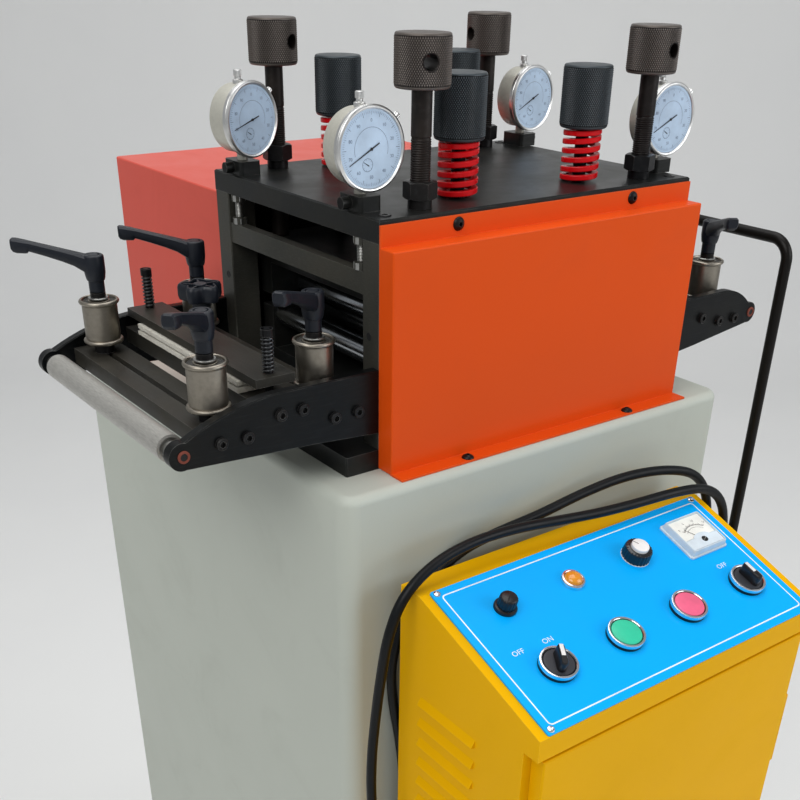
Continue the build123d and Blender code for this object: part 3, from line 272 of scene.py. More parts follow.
dial_white = plastic("dial_white", (196, 219, 243), rough=0.4, grain=0.02, Coat_Weight=0.3)
seal_rubber = plastic("bearing_seal", (58, 56, 52), rough=0.5, grain=0.3, scale=600)
# Near black for bores, threaded holes and slots: painted shade in place of their depth.
painted_hole_shade = plastic("painted_hole_shade", (9, 9, 9), rough=0.7)
axle_rust = paint("axle_rust", (122, 66, 54), rough=0.6, peel=0.3, dirt=0.5)

m = Shade("amber_lens", Transmission_Weight=0.2, IOR=1.49, Coat_Weight=0.6, Coat_Roughness=0.05)
amber_lens = m.out(
    Base_Color=m.mix(m.span(m.noise(150, 3), 0.3, 0.7), linear(255, 172, 40), linear(244, 142, 20)),
    Roughness=m.span(m.noise(300, 2), 0.3, 0.7, 0.16, 0.28),
    Normal=m.bump(m.noise(420, 2), 0.15, 0.0003))

m = Shade("felt", Sheen_Weight=0.6)
fibre = m.noise(900, 6, 0.75, seed=3, distortion=1.5)
stain = m.span(m.noise(30, 6, 0.7, seed=9), 0.5, 0.8, 0.0, 0.7)
clean_felt = m.mix(fibre, linear(226, 222, 208), linear(196, 190, 172))
felt_fabric = m.out(
    Base_Color=m.mix(stain, clean_felt, linear(140, 122, 98)),
    Roughness=m.span(fibre, 0.3, 0.7, 0.85, 1.0),
    Normal=m.bump(fibre, 0.8, 0.0012))

m = Shade("studio_floor", Roughness=0.7)
floor_material = m.out(Base_Color=m.mix(m.noise(3, 3, 0.5), linear(236, 236, 234), linear(231, 231, 230)))


# Mesh helpers. A matrix from place() takes lengths in millimetres
def from_bmesh(name, bm, material, smooth=30):
    bmesh.ops.remove_doubles(bm, verts=bm.verts, dist=1e-6)
    bmesh.ops.recalc_face_normals(bm, faces=bm.faces)
    mesh = bpy.data.meshes.new(name)
    bm.to_mesh(mesh)
    bm.free()
    mesh.materials.append(material)
    if smooth:
        for face in mesh.polygons:
            face.use_smooth = True
        mesh.set_sharp_from_angle(angle=radians(smooth))
    return added(name, mesh)


def riding(piece, body, *replaced, slot=None):
    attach(piece, body)
    if replaced:
        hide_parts(*replaced)
    return piece


def mount(name, bm, material, body="machine", *replaced, slot=None, smooth=30):
    """A piece of the visual model on its body, in place of the CAD nodes that it replaces."""
    return riding(from_bmesh(name, bm, material, smooth), body, *replaced, slot=slot)


def place(point, axis=(0, 0, 1), spin=0.0):
    """Frame at a point in metres with its Z along the axis, for lengths in millimetres."""
    turn = Vector((0, 0, 1)).rotation_difference(Vector(axis).normalized()).to_matrix().to_4x4()
    return Matrix.Translation(Vector(point)) @ turn @ Matrix.Rotation(spin, 4, "Z") @ Matrix.Scale(MM, 4)


def shifted(m, x, y, z=0.0, spin=0.0):
    return m @ Matrix.Translation((x, y, z)) @ Matrix.Rotation(spin, 4, "Z")


def upright(x, y, spin=0.0):
    """Frame that stands at a spot of the head."""
    return place(H(x, y, 0), spin=spin)


def polar(radius, turn, centre=(0, 0)):
    return centre[0] + radius * cos(turn), centre[1] + radius * sin(turn)


def circle(radius, count=32):
    return [polar(radius, 2 * pi * k / count) for k in range(count)]


def hexagon(across):
    return circle(across / 2 / cos(pi / 6), 6)


def toothed(radius, depth, teeth):
    """Round outline with fine straight teeth."""
    return [polar(radius - depth * (k % 2), pi * k / teeth) for k in range(2 * teeth)]


def rounded(length, width, radius):
    """Rectangle with round corners about the origin."""
    out, steps = [], 5
    for quarter, (sx, sy) in enumerate(((1, 1), (-1, 1), (-1, -1), (1, -1))):
        for k in range(steps):
            x, y = polar(radius, pi / 2 * (quarter + k / (steps - 1)))
            out.append((sx * (length / 2 - radius) + x, sy * (width / 2 - radius) + y))
    return out


def vert(bm, m, x, y, z):
    return bm.verts.new(m @ Vector((x, y, z)))


def ring(bm, m, outline, height):
    return [vert(bm, m, x, y, height) for x, y in outline]


def skin(bm, rings):
    """Faces between neighbouring rings of the same count."""
    for low, high in zip(rings, rings[1:]):
        for k in range(len(low)):
            n = (k + 1) % len(low)
            bm.faces.new((low[k], low[n], high[n], high[k]))


def tube(bm, loops):
    """Skin through loops along a path, with both ends closed."""
    skin(bm, loops)
    bm.faces.new(loops[0])
    bm.faces.new(loops[-1][::-1])


def loft(bm, m, steps, close_high=True):
    """Skin through outlines, each given with its height, with flat ends."""
    rings = [ring(bm, m, outline, height) for outline, height in steps]
    skin(bm, rings)
    bm.faces.new(rings[0][::-1])
    if close_high:
        bm.faces.new(rings[-1])


def prism(bm, m, outline, low, high):
    loft(bm, m, ((outline, low), (outline, high)))


def box(bm, m, low, high):
    left, front, foot = low
    right, back, top = high
    prism(bm, m, ((left, front), (right, front), (right, back), (left, back)), foot, top)


def lathe(bm, m, profile, count=32):
    """Turn a profile of (radius, height) about the matrix's Z; radius 0 closes to a point."""
    before = None
    for radius, height in profile:
        if radius:
            now = ring(bm, m, circle(radius, count), height)
        else:
            now = [vert(bm, m, 0, 0, height)] * count
        if before:
            for k in range(count):
                n = (k + 1) % count
                bm.faces.new(list(dict.fromkeys((before[k], before[n], now[n], now[k]))))
        before = now


def formed(name, shape, places, measures, material, *args, **settings):
    """One piece with the same shape made at each of the places."""
    bm = bmesh.new()
    for m in places:
        shape(bm, m, *measures)
    return mount(name, bm, material, *args, **settings)


def pocket(bm, m, rim, outline, top, floor, count=48, first=0):
    """Flat land from a round rim to a sunk outline, with the pocket's walls and floor."""
    edge = ring(bm, m, circle(rim, count), top)
    mouth = ring(bm, m, outline, top)
    low = ring(bm, m, outline, floor)
    step = count // len(outline)
    for k in range(len(outline)):
        n = (k + 1) % len(outline)
        arc = [edge[(first + step * k + j) % count] for j in range(step + 1)]
        bm.faces.new([mouth[n], mouth[k]] + arc)
        bm.faces.new((mouth[k], mouth[n], low[n], low[k]))
    bm.faces.new(low)


def socket_screw(bm, m, radius, height, across):
    """Cap screw head with a knurled side and a hexagonal socket."""
    rim = across * 0.63
    grip = toothed(radius, 0.22, 24)
    loft(bm, m, ((grip, -0.1), (grip, height - 0.75), (circle(radius * 0.97, 48), height - 0.4),
                 (circle(radius * 0.86, 48), height), (circle(rim, 48), height)), close_high=False)
    pocket(bm, m, rim, hexagon(across), height, height * 0.3)


def button_screw(bm, m, radius, height, across):
    """Round button head with a hexagonal socket."""
    rim = across * 0.66
    dome = [(radius * cos(a), height * sin(a)) for a in (0.0, 0.3, 0.6, 0.9)]
    lathe(bm, m, dome + [(rim, height)], 48)
    pocket(bm, m, rim, hexagon(across), height, height * 0.2)


def cross_screw(bm, m, radius, height):
    """Pan head with a cross recess."""
    rim = radius * 0.62
    a, b = radius * 0.13, radius * 0.55
    cross = [(b, a), (a, a), (a, b), (-a, b), (-a, a), (-b, a)]
    cross += [(-x, -y) for x, y in cross]
    side = ((radius, 0), (radius * 0.97, height * 0.4), (radius * 0.85, height * 0.8), (rim, height))
    lathe(bm, m, side, 24)
    pocket(bm, m, rim, cross, height, height * 0.3, 24, 1)


def thread(bm, m, radius, depth, pitch, low, high, count=32):
    """A helical thread as a height field round a shank."""
    rows = int(round((high - low) / pitch * 6))
    grid = []
    for j in range(rows + 1):
        z = low + (high - low) * j / rows
        fade = max(0.0, min(1.0, (z - low) / pitch, (high - z) / pitch))
        line = []
        for k in range(count):
            tooth = 1 - abs(2 * ((z / pitch - k / count) % 1.0) - 1)
            r = radius - depth + depth * min(1.0, tooth * 1.3) * fade
            line.append(vert(bm, m, *polar(r, 2 * pi * k / count), z))
        grid.append(line)
    skin(bm, grid)


def nut(bm, m, across, bore, low, high):
    """Hexagon nut, chamfered where its corners meet the faces."""
    count = 48
    flat = across / 2 * 0.97
    turns = [2 * pi * k / count for k in range(count)]
    outline = [(across / 2 / cos(a % (pi / 3) - pi / 6), a) for a in turns]
    rings = [ring(bm, m, circle(bore, count), low), ring(bm, m, circle(flat, count), low)]
    for level, way in ((low, 1), (high, -1)):
        rings.append([vert(bm, m, *polar(r, a), level + way * (r - flat) * 0.5) for r, a in outline])
    rings.append(ring(bm, m, circle(flat, count), high))
    rings.append(ring(bm, m, circle(bore, count), high))
    rings.append(ring(bm, m, circle(bore, count), low))
    skin(bm, rings)


# Section of a flat wire with its corners taken off, as shares of its width and height
WIRE_SECTION = ((-0.5, -0.36), (-0.4, -0.5), (0.4, -0.5), (0.5, -0.36),
                (0.5, 0.36), (0.4, 0.5), (-0.4, 0.5), (-0.5, 0.36))


def flat_coil(bm, m, radius, width, height, low, high, turns):
    """Rectangular-wire coil whose end turns close up and lie flat."""
    total = turns * 36
    first = 0.75 / turns
    close = height * 0.55
    loops = []
    for j in range(total + 1):
        t = j / total
        angle = 2 * pi * turns * t
        if t < first:
            z = low + height / 2 + close * (t / first) ** 1.6
        elif t > 1 - first:
            z = high - height / 2 - close * ((1 - t) / first) ** 1.6
        else:
            z = low + height / 2 + close + (high - low - height - 2 * close) * (t - first) / (1 - 2 * first)
        taper = min(1.0, 0.25 + 3.5 * turns * min(t, 1 - t))
        loop = []
        for x, y in WIRE_SECTION:
            loop.append(vert(bm, m, *polar(radius + x * width, angle), z + y * height * taper))
        loops.append(loop)
    tube(bm, loops)


def wire_coil(bm, m, radius, wire, low, high, turns):
    """Round-wire coil."""
    total = turns * 18
    loops = []
    for j in range(total + 1):
        angle = 2 * pi * turns * j / total
        z = low + wire + (high - low - 2 * wire) * j / total
        loops.append([vert(bm, m, *polar(radius + x, angle), z + y) for x, y in circle(wire, 6)])
    tube(bm, loops)


# Diamond knurl: pyramids with their valleys running both ways round a head
KNURL_WIDTH = 1.7
KNURL_TALL = 2.5
KNURL_DEPTH = 0.5


def knurled_head(bm, m, radius, low, high, low_round, high_round, hole=0.0):
    """Knurled cylinder with rounded ends; a cross hole, where asked, runs along the matrix's X."""
    columns = 4 * round(pi * radius / KNURL_WIDTH)
    base, crown = low + low_round, high - high_round
    rows = 2 * round((crown - base) / KNURL_TALL)
    middle = (low + high) / 2
    valley = radius - KNURL_DEPTH
    layers = bm.verts.layers.float_color
    # Vertex tone for the knurl shader: 0 on crests for the lighter colour (rubbed wear and painted
    # highlight), 1 in valleys for the dark tint (oxide and painted shade).
    crest_wear_and_shading = layers.get("valley") or layers.new("valley")
    grid = []
    for j in range(rows + 1):
        z = base + (crown - base) * j / rows
        line = []
        for k in range(columns):
            crest = (j + k) % 2 == 0 and 0 < j < rows
            x, y = polar(radius if crest else valley, 2 * pi * k / columns)
            level = z
            away = hypot(y, z - middle)
            if hole and away < hole - 0.6:
                line.append(None)
                continue
            if hole and away < hole + 0.45:
                y *= (hole + 0.3) / away
                level = middle + (z - middle) * (hole + 0.3) / away
                x = sqrt(valley**2 - y**2) * (1 if x > 0 else -1)
            line.append(vert(bm, m, x, y, level))
            line[-1][crest_wear_and_shading] = (0.0, 0.0, 0.0, 1.0) if crest else (1.0, 1.0, 1.0, 1.0)
        grid.append(line)
    for j in range(rows):
        for k in range(columns):
            n = (k + 1) % columns
            corners = [grid[j][k], grid[j][n], grid[j + 1][n], grid[j + 1][k]]
            if (j + k) % 2 == 0:
                corners = corners[1:] + corners[:1]
            for face in (corners[:3], corners[2:] + corners[:1]):
                if None not in face:
                    bm.faces.new(face)
    for level, way, reach, line in ((low, -1, low_round, grid[0]), (high, 1, high_round, grid[-1])):
        rings = [line]
        for a in (0.0, 0.4, 0.8, 1.2, pi / 2):
            r = valley + 0.12 - reach * (1 - cos(a))
            rings.append(ring(bm, m, circle(r, columns), level - way * reach * (1 - sin(a))))
        skin(bm, rings)
        middle_point = vert(bm, m, 0, 0, level)
        # The rounded ends and the middle point get a tone of 0.45, a painted sheen that lightens them.
        for v in [middle_point] + [v for one in rings[1:] for v in one]:
            v[crest_wear_and_shading] = (0.45, 0.45, 0.45, 1.0)
        for k in range(columns):
            bm.faces.new((rings[-1][k], rings[-1][(k + 1) % columns], middle_point))
    if hole:
        cross_hole(bm, m, radius, middle, hole)


def cross_hole(bm, m, radius, middle, hole):
    """Chamfered rim on each side of a head, and the bore between them."""
    steps = ((hole + 0.8, -0.6), (hole + 0.8, -0.05), (hole + 0.4, -0.05), (hole, -0.45))
    rings = []
    for side in (1, -1):
        for reach, lift in steps[::side]:
            rings.append([vert(bm, m, side * (sqrt(radius**2 - y**2) + lift), y, middle + z)
                          for y, z in circle(reach)])
    skin(bm, rings)


# Cables first: the same points as the route of the CAD tubes
cable_1_route = (
    (148, -286, 640), (174, -286, 640), (194, -284, 661), (198, -281, 701), (188, -277, 746),
    (172, -273, 790), (163, -270, 832), (160, -268, 869), (142, -266, 897), (105, -262, 909),
    (62, -255, 911), (19, -250, 905), (-25, -249, 898), (-64, -248, 895), (-98, -243, 887),
    (-128, -243, 870), (-152, -243, 844), (-164, -243, 810), (-162, -243, 772), (-154, -243, 730),
    (-149, -243, 686), (-150, -243, 641), (-156, -243, 597), (-167, -245, 554), (-175, -254, 511),
    (-178, -267, 469), (-178, -280, 429), (-176, -289, 393), (-173, -291, 361), (-172, -273, 342),
    (-172, -247, 342),
)
cable_2_route = (
    (148, -308, 610), (174, -308, 610), (195, -306, 630), (202, -302, 669), (194, -296, 715),
    (179, -290, 760), (170, -287, 803), (167, -285, 842), (159, -284, 874), (136, -282, 892),
    (99, -279, 896), (58, -276, 896), (15, -272, 897), (-28, -268, 901), (-70, -265, 905),
    (-110, -264, 905), (-145, -266, 899), (-172, -268, 883), (-184, -267, 854), (-187, -263, 818),
    (-190, -260, 778), (-194, -260, 737), (-196, -263, 694), (-195, -271, 651), (-191, -281, 608),
    (-187, -292, 565), (-184, -302, 521), (-182, -309, 476), (-180, -313, 432), (-178, -314, 388),
    (-177, -311, 346), (-175, -304, 308), (-173, -292, 277), (-172, -273, 257), (-172, -247, 257),
)
for number, (route, length) in enumerate(((cable_1_route, 1.155), (cable_2_route, 1.313)), 1):
    name = f"cable_{number}_jacket"
    curve = bpy.data.curves.new(name, "CURVE")
    curve.dimensions = "3D"
    spline = curve.splines.new("NURBS")
    spline.points.add(len(route) - 1)
    for control, point in zip(spline.points, route):
        control.co = (*(Vector(point) * MM), 1)
    spline.order_u = 3
    spline.use_endpoint_u = True
    curve.bevel_depth = 0.004
    curve.bevel_resolution = 6
    curve.resolution_u = 6
    curve.use_fill_caps = True
    curve.materials.append(cable_jacket)
    cable = added(name, curve)
    riding(cable, "machine", f"cable_{number}", slot="cable_black")

# Tapered sleeves where the cables enter their glands
sleeve_profile = ((6.6, -0.5), (6.6, 2.0), (6.0, 3.0), (6.0, 5.0), (5.6, 5.5), (5.6, 8.5), (5.2, 9.0),
                  (5.2, 12.0), (4.9, 12.5), (4.9, 16.0), (4.7, 16.5), (4.6, 20.4), (4.1, 21.0))
sleeve_places = [place(Vector(route[end]) * MM, way) for route in (cable_1_route, cable_2_route)
                 for end, way in ((0, (1, 0, 0)), (-1, (0, -1, 0)))]
formed("cable_sleeves", lathe, sleeve_places, (sleeve_profile, 28), black_plastic, slot="lever_black",
       smooth=35)


# CAD nodes get their materials
def dress(material, *names):
    for name in names:
        mesh = nodes[name].data
        if not mesh.materials:
            mesh.materials.append(material)
        for index in range(len(mesh.materials)):
            mesh.materials[index] = material


screws = [f"adjusting_screw_{n}" for n in (1, 2, 3, 4)]

# Guide rollers with the clamp levers over them: side, number, place in the head and turn of the lever
rollers = (
    ("entry", 1, -118, 200.9, 154),
    ("entry", 2, -118, 28.1, 224),
    ("entry", 3, -35, 200.9, 158),
    ("entry", 4, -35, 28.1, 216),
    ("exit", 1, 373, 28.1, 235),
    ("exit", 2, 373, 200.9, 130),
)
roller_names = [f"{side}_guide_roller_{n}" for side, n, x, y, turn in rollers]
lever_names = [f"{side}_clamp_lever_{n}" for side, n, x, y, turn in rollers]
dress(pedestal_paint, "pedestal")
dress(orange_paint, "front_cover")
dress(red_paint, "drive_cover")
dress(yellow_paint, "console_body", "console_door", "door_hinges")
dress(panel_blue, "console_panel")
dress(hoop_paint, "feeler_hoop", "hoop_sockets")
dress(head_black, "gauge_blocks", "base_plate", "top_plate", "roll_bed", "roll_carriage")
dress(post_black, "corner_posts", "cross_beams")
dress(plate_black, "guide_side_plates")
dress(bar_black, "guide_cross_bars", "press_plate")
dress(screw_black, "lock_nuts", "guide_posts", "press_screws")
dress(knurl_brown, *screws)
dress(knurl_black, "spring_caps")
dress(spring_paint, "lift_springs")
dress(roll_steel, "lower_rolls", "upper_rolls")
dress(tube_grey, "entry_roller", "exit_roller")
dress(zinc, "roller_axles")
dress(guide_steel, *roller_names)
dress(gauge_rim, "dial_gauges")
dress(chrome, "switch_bezels")
dress(meter_body, "panel_meter")
dress(black_plastic, "power_switch", "mode_switch", "fuse_holder", "cable_glands")
dress(knob_plastic, "speed_knob")
dress(green_plastic, "forward_button")
dress(red_plastic, "reverse_button")
dress(amber_lens, "power_lamp")
dress(lever_plastic, *lever_names, "star_knob")
dress(cable_jacket, "cable_1", "cable_2")
dress(felt_fabric, "felt_pads")

# Places and levels in the head, in millimetres
screw_spots = [(x, y) for x in (47, 261) for y in (19, 207)]
hole_turns = (-110, -67, -83, -189)
gauge_spots = ((11, 38, 0, 208), (11, 199, 15, 197), (297, 38, 0, 205), (297, 199, 6, 205))
spring_places = [upright(x, y) for x in (94, 214) for y in (37, 189)]
roller_places = [upright(x, y) for side, n, x, y, turn in rollers]
TOP_PLATE = 174  # level of its upper face
GAUGES = 213  # level of the dials' centres
BACK = 229  # outer face of the rear side plates
MIDDLE = BACK / 2
WIPER = -75  # middle of the press plate along the strip
M6_THREAD = (3.15, 0.3, 1.0)  # radius, depth and pitch
SCREW_HEAD = (18.75, 247.5, 279.5, 1.8, 1.5)  # radius, foot, top, rounding at foot and top
SPRING_CAP = (18.25, 211.5, 254, 2.0, 1.5)
BUTTON_HEAD = (4.7, 2.6, 3.0)  # radius, height, width across the socket
REAR_BUTTON_HEAD = (4.7, 1.4, 3.0)
SIDE_PLATE_SCREW = (4.3, 3.0, 4.0)
TOP_PLATE_SCREW = (4.6, 0.8, 4.2)
PRESS_SCREW = (4.3, 5.0, 4.2)

# Adjusting screws: knurled heads with a cross hole on threaded stems
stem_thread = (185.6, 218.2)
stem_profile = ((0, 122.3), (6.2, 122.3), (6.9, 123), (6.9, 185), (6.3, stem_thread[0]),
                (6.3, stem_thread[1]), (6.9, 218.9), (6.9, 246.2), (8.2, 247.6))
for name, (x, y), turn in zip(screws, screw_spots, hole_turns):
    m = upright(x, y, radians(turn))
    bm = bmesh.new()
    knurled_head(bm, m, *SCREW_HEAD, hole=4.75)
    lathe(bm, m, stem_profile, 40)
    thread(bm, m, 6.9, 0.55, 1.5, *stem_thread)
    mount(f"{name}_knurled", bm, knurl_brown, name, name, slot="black_oxide", smooth=25)

bm = bmesh.new()
for x, y in screw_spots:
    m = upright(x, y, radians(20))
    lathe(bm, m, ((7.3, TOP_PLATE), (8.1, TOP_PLATE), (8.3, 174.3), (8.3, 180.1)), 40)
    nut(bm, m, 20.5, 7.2, 180, 191.5)
mount("chamfered_lock_nuts", bm, screw_black, "machine", "lock_nuts", slot="black_oxide")

# Spring caps on their rods, and red lifting springs of flat wire with closed ends
bm = bmesh.new()
for m in spring_places:
    knurled_head(bm, m, *SPRING_CAP)
    lathe(bm, m, ((5, 122), (5, 212)), 28)
mount("spring_caps_knurled", bm, knurl_black, "roll_carriage", "spring_caps", slot="black_oxide", smooth=25)
coils = formed("lift_spring_coils", flat_coil, spring_places, (12.2, 4.6, 3.7, 174.3, 211.2, 6),
               spring_paint, "machine", "lift_springs", slot="spring_red", smooth=40)
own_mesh(coils)

# Black socket screws on the side plates and the top plate
bm = bmesh.new()
for x, z in ((-125.3, 49.5), (-105.9, 49.4), (-80, 59.3), (-62.7, 59.5), (-37.4, 47.9), (-18.2, 48.4),
             (387, 48.7), (366.5, 49.3), (342.7, 55.4)):
    for y, way in ((0, -1), (BACK, 1)):
        socket_screw(bm, place(H(x, y, z), (0, way, 0), x), *SIDE_PLATE_SCREW)
for x, y in ((12, 11), (12, 215), (288, 11), (288, 215)):
    socket_screw(bm, place(H(x, y, TOP_PLATE), spin=x + y), *TOP_PLATE_SCREW)
mount("plate_screws", bm, screw_black, slot="black_oxide")

# Button heads on the covers
bm = bmesh.new()
for x in (65, 235):
    button_screw(bm, place(H(x, -1.5, 165.2), (0, -1, 0)), *BUTTON_HEAD)
    button_screw(bm, place(H(x, -23.5, 1.5)), *BUTTON_HEAD)
for x in (35, 265):
    for z in (20, 136):
        button_screw(bm, place(H(x, 434.5, z), (0, 1, 0)), *REAR_BUTTON_HEAD)
mount("cover_screws", bm, screw_black, slot="black_oxide")

# Axle ends in the side plates, and threaded holes in the corner posts
axle_places = [place(H(x, y, z), (0, way, 0)) for x, z in ((-152.2, 46.5), (410.4, 50))
               for y, way in ((0, -1), (BACK, 1))]
axle_profile = ((4.3, 0), (4.3, 0.7), (3.9, 1.1), (2.7, 1.1), (2.5, 0.5))
formed("axle_ends", lathe, axle_places, (axle_profile, 28), axle_rust)
# A near-black disc in each axle end's bore: painted shade.
formed("axle_end_bores", lathe, axle_places, (((2.6, 0.1), (2.6, 0.6), (0, 0.6)), 28), painted_hole_shade)

post_hole_places = [place(H(x, y, 95), (way, 0, 0)) for y in (12, 214) for x, way in ((0, -1), (300, 1))]
post_hole_profile = ((2.8, 0), (2.7, 0.25), (2.0, 0.25), (1.8, 0.08), (0, 0.08))
# The threaded holes are shallow near-black discs: painted shade in place of their depth.
formed("post_screw_holes", lathe, post_hole_places, (post_hole_profile, 24), painted_hole_shade)

# Studs and nuts over the cross beams
bm = bmesh.new()
for x in (5, 295):
    for y in (28, 198):
        m = upright(x, y, 0.2)
        thread(bm, m, *M6_THREAD, 142, 154.1, 20)
        nut(bm, m, 10, 3, 137, 141.9)
        nut(bm, m, 10, 3, 154, 158.9)
mount("beam_studs_and_nuts", bm, zinc, slot="zinc", smooth=25)


# Wiper: two pads of pressed felt between the support bar and the press plate
def felt_pad(name, low, high, seed):
    """A felt strip with worn, slightly swollen edges."""
    bm = bmesh.new()
    size = Vector((28, 160, high - low)) * MM
    centre = H(-79, MIDDLE, (low + high) / 2)
    bmesh.ops.create_cube(bm, size=1.0)
    bmesh.ops.scale(bm, vec=size - Vector((0.0012, 0.0012, 0.0012)), verts=bm.verts)
    bmesh.ops.bevel(bm, geom=bm.edges[:], offset=0.0005, segments=2, affect="EDGES")
    for axis, cuts in ((0, 12), (1, 60)):
        for k in range(1, cuts):
            normal = Vector((0, 0, 0))
            normal[axis] = 1
            at = normal * (-size[axis] / 2 + size[axis] * k / cuts)
            whole = bm.verts[:] + bm.edges[:] + bm.faces[:]
            bmesh.ops.bisect_plane(bm, geom=whole, plane_co=at, plane_no=normal)
    for v in bm.verts:
        edge = max(abs(v.co.x) / size.x, abs(v.co.y) / size.y) * 2
        rough = noise.noise(v.co * 420 + Vector((seed, 0, 0)))
        fray = noise.noise(v.co * 1500 + Vector((0, seed, 0)))
        v.co.z += (1 if v.co.z > 0 else -1) * 0.0002 * rough
        if edge > 0.9:
            v.co.x += 0.00045 * fray * (1 if v.co.x > 0 else -1)
            v.co.y += 0.00045 * fray * (1 if v.co.y > 0 else -1)
        v.co += centre
    return mount(name, bm, felt_fabric, slot="felt", smooth=60)


felt_lower = felt_pad("felt_pad_lower", 65.0, 69.95, 3.0)
felt_pad("felt_pad_upper", 70.05, 75.0, 8.0)
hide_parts("felt_pads")

# Press screws with their springs, and the star knob's stud
press_rows = (22, 207)
bm = bmesh.new()
for y in press_rows:
    m = upright(WIPER, y, 0.4)
    thread(bm, m, *M6_THREAD, 81.2, 106.1, 20)
    socket_screw(bm, shifted(m, 0, 0, 106), *PRESS_SCREW)
mount("press_screw_heads", bm, screw_black, slot="black_oxide")
press_places = [upright(WIPER, y) for y in press_rows]
formed("press_screw_springs", wire_coil, press_places, (3.75, 0.6, 81.1, 105.9, 9), coil_black,
       slot="black_oxide", smooth=60)
star_place = upright(WIPER, MIDDLE)
formed("star_knob_stud", thread, [star_place], (*M6_THREAD, 81.2, 101.8, 20), zinc, slot="zinc")


# Star knob: five lobes round a sunk top with ribs
def star(radius, lobe):
    turns = [2 * pi * k / 60 for k in range(60)]
    return [polar(radius + lobe * cos(5 * a), a) for a in turns]


bm = bmesh.new()
loft(bm, star_place, [(star(radius, lobe), z) for radius, lobe, z in (
    (11.0, 2.0, 108.0), (13.0, 2.6, 108.9), (13.8, 2.6, 111.5), (13.8, 2.6, 117.3), (13.1, 2.5, 119.3),
    (12.2, 2.3, 120.0), (11.3, 2.1, 119.8), (10.8, 2.0, 117.6))])
lathe(bm, star_place, ((3.4, 102.0), (6.0, 102.0), (6.5, 102.5), (6.5, 108.2)), 28)
lathe(bm, star_place, ((4.8, 117.5), (4.8, 119.6), (4.4, 120.0), (0, 120.0)), 24)
for k in range(5):
    box(bm, shifted(star_place, 0, 0, 0, 2 * pi * k / 5), (4.2, -0.6, 117.4), (12.4, 0.6, 119.5))
mount("star_knob_moulding", bm, lever_plastic, "star_knob", "star_knob", slot="lever_black", smooth=40)

# Clamp levers: a hub on a steel insert, and a slim arm that rises to a blunt heel at its tip.
# Each station is (distance out, underside, top, width)
arm_stations = ((0, 115.4, 128.0, 12.6), (6.5, 116.0, 128.6, 12.4), (9.5, 118.0, 129.5, 11.8),
                (14, 121.0, 130.8, 10.8), (22, 124.4, 133.0, 10.0), (33, 128.4, 136.0, 9.4),
                (44.5, 132.2, 139.1, 9.0), (45.6, 131.0, 139.4, 9.4), (47, 130.9, 139.8, 9.8),
                (53, 131.3, 141.2, 9.8), (55.6, 132.2, 141.4, 9.2), (56.8, 134.0, 140.6, 7.8))
arm_section = ((0.30, 1.0), (0.46, 0.86), (0.5, 0.62), (0.5, 0.3), (0.42, 0.08), (0.28, 0.0))
hub_profile = ((4.2, 101.5), (5.5, 101.5), (5.8, 101.8), (5.8, 109.6), (6.6, 110.0), (7.1, 111.6),
               (7.8, 115.8), (7.9, 118.0), (7.9, 126.9), (7.5, 127.9), (6.6, 128.5), (5.2, 128.5),
               (4.9, 128.1), (4.9, 127.5), (4.2, 127.5), (4.2, 128.1), (3.8, 128.5), (0, 128.5))
for name, (side, n, x, y, turn) in zip(lever_names, rollers):
    m = upright(x, y, radians(turn))
    bm = bmesh.new()
    loops = []
    for along, low, high, width in arm_stations:
        half = [(aside * width, low + rise * (high - low)) for aside, rise in arm_section]
        whole = half + [(-aside, rise) for aside, rise in reversed(half)]
        loops.append([vert(bm, m, along, aside, rise) for aside, rise in whole])
    tube(bm, loops)
    lathe(bm, m, hub_profile, 40)
    mount(f"{name}_moulding", bm, lever_plastic, name, name, slot="lever_black", smooth=25)

# Guide rollers: a ground sleeve with rolled rims round a sealed bearing
BEAD = 1.65
SLEEVE = 13.45


def bead(level):
    """Half round bead at a sleeve's end."""
    turns = [radians(a) for a in (-90, -64, -38, -13, 13, 38, 64, 90)]
    return [polar(BEAD, a, (SLEEVE, level)) for a in turns]


sleeve_rims = [
    (4.1, 63.0), *bead(64.65), (12.95, 66.4), (12.95, 66.9), (13.2, 67.0), (13.2, 92.0), (12.95, 92.1),
    (12.95, 92.6), *bead(94.35), (12.8, 95.7), (12.5, 95.2), (12.4, 94.0)]
inner_race = ((8.2, 94.2), (8.1, 95.0), (7.6, 95.3), (5.2, 95.3), (4.9, 94.9), (4.2, 94.2))
seal_rings = ((12.3, 94.0), (12.1, 94.5), (11.2, 94.6), (10.8, 94.2), (9.6, 94.2), (9.2, 94.5), (8.4, 94.5),
              (8.2, 94.1))
for name, m in zip(roller_names, roller_places):
    bm = bmesh.new()
    lathe(bm, m, sleeve_rims, 64)
    lathe(bm, m, inner_race, 40)
    mount(f"{name}_sleeve", bm, guide_steel, name, name, slot="roller_steel", smooth=32)
    formed(f"{name}_seal", lathe, [m], (seal_rings, 48), seal_rubber, name, smooth=40)

# Bright washer and black collar on each post, between the roller and the lever
washer_profile = ((4.0, 96.0), (7.2, 96.0), (7.6, 96.3), (7.6, 97.0), (7.2, 97.4), (4.0, 97.4))
collar_profile = ((4.0, 97.4), (5.8, 97.4), (5.8, 101.0), (5.4, 101.2), (4.0, 101.2))
formed("post_washers", lathe, roller_places, (washer_profile, 40), zinc, slot="zinc")
formed("post_collars", lathe, roller_places, (collar_profile, 32), screw_black, slot="black_oxide")


# Flat marks: thin strips, arcs and figures laid on a face whose frame is (right, up, out)
def flat_bar(bm, m, a, b, width, lift):
    a, b = Vector(a), Vector(b)
    side = (b - a).orthogonal().normalized() * width / 2
    corners = (a + side, a - side, b - side, b + side)
    bm.faces.new([vert(bm, m, *corner, lift) for corner in corners])


